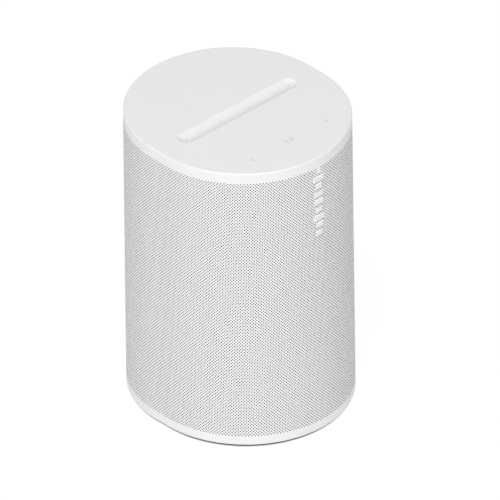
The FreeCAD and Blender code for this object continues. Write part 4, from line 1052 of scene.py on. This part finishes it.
class SPEAKER_OT_tweeters(bpy.types.Operator):
    """Make the two soft domes"""

    bl_idname = "speaker.tweeters"
    bl_label = "Tweeter domes"

    def execute(self, context):
        steps = context.scene.speaker_sizes.turned_steps
        for joint in frame["joints"]:
            body = joint["child"]
            if not body.endswith("_dome"):
                continue
            side = body.removesuffix("_dome")
            node = side + "_tweeter_dome"
            inward = -np.array(joint["axis"])
            origin = self.front(node, inward)
            piece = turned(side + "_dome", self.outline(), origin, inward, steps)
            finish_piece(piece, "dome_silk", body, node)
        return {"FINISHED"}

    def front(self, node, inward):
        """The dome's front point: the node's middle, moved out to the foremost."""
        low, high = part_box(node)
        spots = spots_of(NODES[node].data)
        foremost = spots[np.argmin(spots @ inward)]
        middle = np.array((low + high) / 2)
        sideways = np.cross((0.0, 0.0, 1.0), inward)
        return (
            inward * (foremost @ inward)
            + sideways * (foremost @ sideways)
            + np.array([0.0, 0.0, middle[2]])
        )

    def outline(self):
        """A cap, a small roll to a flat edge ring, and the coil's tube behind."""
        reach, fall = bowed(9.2, 2.75)
        turn = np.linspace(math.pi, 0.0, 12)[1:]
        roll = np.stack([9.45 + 0.25 * np.cos(turn), 2.75 - 0.2 * np.sin(turn)], axis=1)
        front = np.concatenate([np.stack([reach, fall], axis=1), roll, [(10.15, 2.75)]])
        skin, outer, inner, end = 0.28, 8.0, 7.6, 5.8
        back = front[::-1] + (0.0, skin)
        back = back[(back[:, 0] > outer) | (back[:, 0] < inner)]
        gap = np.nonzero((back[:-1, 0] > outer) & (back[1:, 0] < inner))[0][0] + 1
        level = np.interp([outer, inner], reach, fall) + skin
        tube = [(outer, level[0]), (outer, end), (inner, end), (inner, level[1])]
        return np.concatenate([front, back[:gap], tube, back[gap:]])


class SPEAKER_OT_wadding(bpy.types.Operator):
    """Make the loose wadding behind the woofer"""

    bl_idname = "speaker.wadding"
    bl_label = "Damping wadding"

    def execute(self, context):
        low, high = (np.array(corner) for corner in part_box("damping_foam"))
        points, faces = self.pillow((low + high) / 2, (high - low) / 2)
        piece = surface("wadding", points, outward(points, faces))
        finish_piece(piece, "damping_wool", "housing", "damping_foam")
        return {"FINISHED"}

    def pillow(self, centre, half):
        """A soft block: a ball whose coordinates are raised to a small power.

        The direction on the ball goes round the vertical axis and from pole to pole.
        Each coordinate keeps its sign and is raised to a power under 1, which makes
        the ball boxy. Slow waves across the faces then press hollows into it.
        """
        around, rise = 160, 120
        turn = np.arange(around) * math.tau / around
        lift = np.linspace(-math.pi / 2, math.pi / 2, rise + 1)[1:-1]
        lift, turn = np.meshgrid(lift, turn, indexing="ij")

        def boxy(value, power):
            return np.sign(value) * np.abs(value) ** power

        shape = np.stack(
            [
                boxy(np.cos(lift), 0.3) * boxy(np.cos(turn), 0.35),
                boxy(np.cos(lift), 0.3) * boxy(np.sin(turn), 0.55),
                boxy(np.sin(lift), 0.35),
            ],
            axis=-1,
        ).reshape(-1, 3)
        ends = np.array([[0.0, 0.0, -1.0], [0.0, 0.0, 1.0]])
        shape = np.concatenate([shape, ends])
        spots = shape * half
        # lumps of a few centimetres, each at its own slant
        wave = (
            np.sin(spots[:, 0] * 260 + 1.1) * np.sin(spots[:, 2] * 210 + 0.4)
            + 0.6 * np.sin(spots[:, 0] * 610 + spots[:, 2] * 430)
            + 0.4 * np.sin(spots[:, 2] * 900 - spots[:, 0] * 520 + 2.0)
        )
        spots[:, 1] *= 0.93 - 0.05 * (wave + 2.0) / 2.0
        spots[:, 0] *= 0.99 - 0.012 * (np.sin(spots[:, 2] * 420) + 1.0) / 2.0
        faces = [ring_faces(rise - 1, around), *pole_faces(rise - 1, around)]
        return centre + spots, faces


# ---------------------------------------------------------- stage


def direction(azimuth, elevation):
    """The way from the speaker to something at that azimuth and elevation."""
    level = math.cos(elevation)
    return Vector(
        (math.sin(azimuth) * level, -math.cos(azimuth) * level, math.sin(elevation))
    )


class SPEAKER_OT_stage(bpy.types.Operator):
    """Make the floor, the soft light and the camera"""

    bl_idname = "speaker.stage"
    bl_label = "Stage"

    def execute(self, context):
        stage = context.scene.speaker_stage
        self.floor(stage)
        self.light(context, stage)
        self.camera(context, stage)
        return {"FINISHED"}

    def floor(self, stage):
        """A wide flat disc, a little luminous, so that it stays nearly white, with a painted contact shadow where
        its glow stops under the foot.
        """
        steps, rings = 96, np.array([0.1 * MM, 0.1, 0.3, 1.0, 4.0])
        turn = np.arange(steps) * math.tau / steps
        reach, around = np.meshgrid(rings, turn, indexing="ij")
        points = np.stack(
            [
                reach * np.cos(around),
                reach * np.sin(around),
                np.full(reach.shape, -stage.floor_drop),
            ],
            axis=-1,
        ).reshape(-1, 3)
        floor = surface("floor", points, ring_faces(len(rings), steps))
        finish = Finish("floor_white")
        cloud = finish.noise(0.25, 2.0)
        # distance from the flat between the round ends; the glow stops under the foot, which paints a contact
        # shadow there
        radius = bpy.context.scene.speaker_sizes.end_radius
        x, y = finish.axis("X"), finish.axis("Y")
        beyond = (y.absolute() - (GRILLE_HIGH.y - radius)).at_least(0.0)
        reach = (x * x + beyond * beyond).root()
        clear_of_painted_shadow = reach.step(radius - 2.6 * MM, 1.6 * MM)
        finish.dress(
            finish.shaded((0.10, 0.10, 0.10), cloud, 0.004),
            0.75 + 0.05 * cloud,
            # painted contact shadow: no glow inside the foot's outline
            Emission_Color=finish.blend(clear_of_painted_shadow, (0.0, 0.0, 0.0), (1.0, 1.0, 1.0)),
            Emission_Strength=stage.floor_glow,
            Specular_IOR_Level=0.2,
        )
        floor.data.materials.append(finish.material)

    def light(self, context, stage):
        """An even white sky and one large soft light to the camera's left."""
        world = bpy.data.worlds.new("soft_sky")
        context.scene.world = world
        world.use_nodes = True
        sky = world.node_tree.nodes["Background"]
        sky.inputs["Color"].default_value = (1.0, 1.0, 1.0, 1.0)
        sky.inputs["Strength"].default_value = stage.sky
        lamp = bpy.data.lights.new("key_light", "AREA")
        lamp.energy, lamp.size = stage.key, stage.key_size
        lit = bpy.data.objects.new("key_light", lamp)
        context.scene.collection.objects.link(lit)
        away = direction(stage.key_azimuth, stage.key_elevation)
        lit.location = Vector((0.0, 0.0, stage.aim_height)) + away * stage.key_distance
        lit.rotation_euler = (-away).to_track_quat("-Z", "Y").to_euler()
        context.scene.view_settings.view_transform = "Standard"

    def camera(self, context, stage):
        """A parallel view from the front left and above."""
        data = bpy.data.cameras.new("camera")
        data.type = "ORTHO"
        data.ortho_scale = stage.picture_width
        data.clip_start, data.clip_end = 0.01, 10.0
        camera = bpy.data.objects.new("camera", data)
        context.scene.collection.objects.link(camera)
        back = direction(stage.azimuth, stage.elevation)
        turn = (-back).to_track_quat("-Z", "Y") @ Quaternion((0, 0, 1), stage.roll)
        aim = Vector((0.0, 0.0, stage.aim_height))
        aim += turn @ Vector((stage.sideways, -stage.downwards, 0.0))
        camera.rotation_mode = "QUATERNION"
        camera.rotation_quaternion = turn
        camera.location = aim + back * stage.camera_distance
        context.scene.camera = camera


class SPEAKER_OT_nodes(bpy.types.Operator):
    """Put each carried piece's finish on it"""

    bl_idname = "speaker.nodes"
    bl_label = "Carried pieces"

    def execute(self, context):
        dress_nodes(*NODES)
        return {"FINISHED"}


class SPEAKER_PT_panel(bpy.types.Panel):
    """The speaker's sizes, colours and steps"""

    bl_label = "Smart speaker"
    bl_idname = "SPEAKER_PT_panel"
    bl_space_type = "VIEW_3D"
    bl_region_type = "UI"
    bl_category = "Speaker"

    def draw(self, context):
        """Show each group's values, then a button for each step."""
        scene = context.scene
        for title, group in (
            ("Sizes", scene.speaker_sizes),
            ("Colours", scene.speaker_colours),
            ("Stage", scene.speaker_stage),
        ):
            box = self.layout.box()
            box.label(text=title)
            for key in group.__annotations__:
                box.prop(group, key)
        for step in STEPS:
            self.layout.operator(step.bl_idname)


STEPS = (
    SPEAKER_OT_nodes,
    SPEAKER_OT_grille,
    SPEAKER_OT_woofer,
    SPEAKER_OT_tweeters,
    SPEAKER_OT_wadding,
    SPEAKER_OT_stage,
)
GROUPS = (SpeakerSizes, SpeakerColours, SpeakerStage)


def register():
    """Add the classes, and the groups of values to the scene."""
    for kind in (*GROUPS, *STEPS, SPEAKER_PT_panel):
        bpy.utils.register_class(kind)
    bpy.types.Scene.speaker_sizes = PointerProperty(type=SpeakerSizes)
    bpy.types.Scene.speaker_colours = PointerProperty(type=SpeakerColours)
    bpy.types.Scene.speaker_stage = PointerProperty(type=SpeakerStage)


def unregister():
    """Take away what register added."""
    for name in ("speaker_sizes", "speaker_colours", "speaker_stage"):
        delattr(bpy.types.Scene, name)
    for kind in reversed((*GROUPS, *STEPS, SPEAKER_PT_panel)):
        bpy.utils.unregister_class(kind)


def main():
    """Register everything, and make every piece."""
    register()
    for step in STEPS:
        area, name = step.bl_idname.split(".")
        getattr(getattr(bpy.ops, area), name)()


if __name__ == "__main__":
    main()
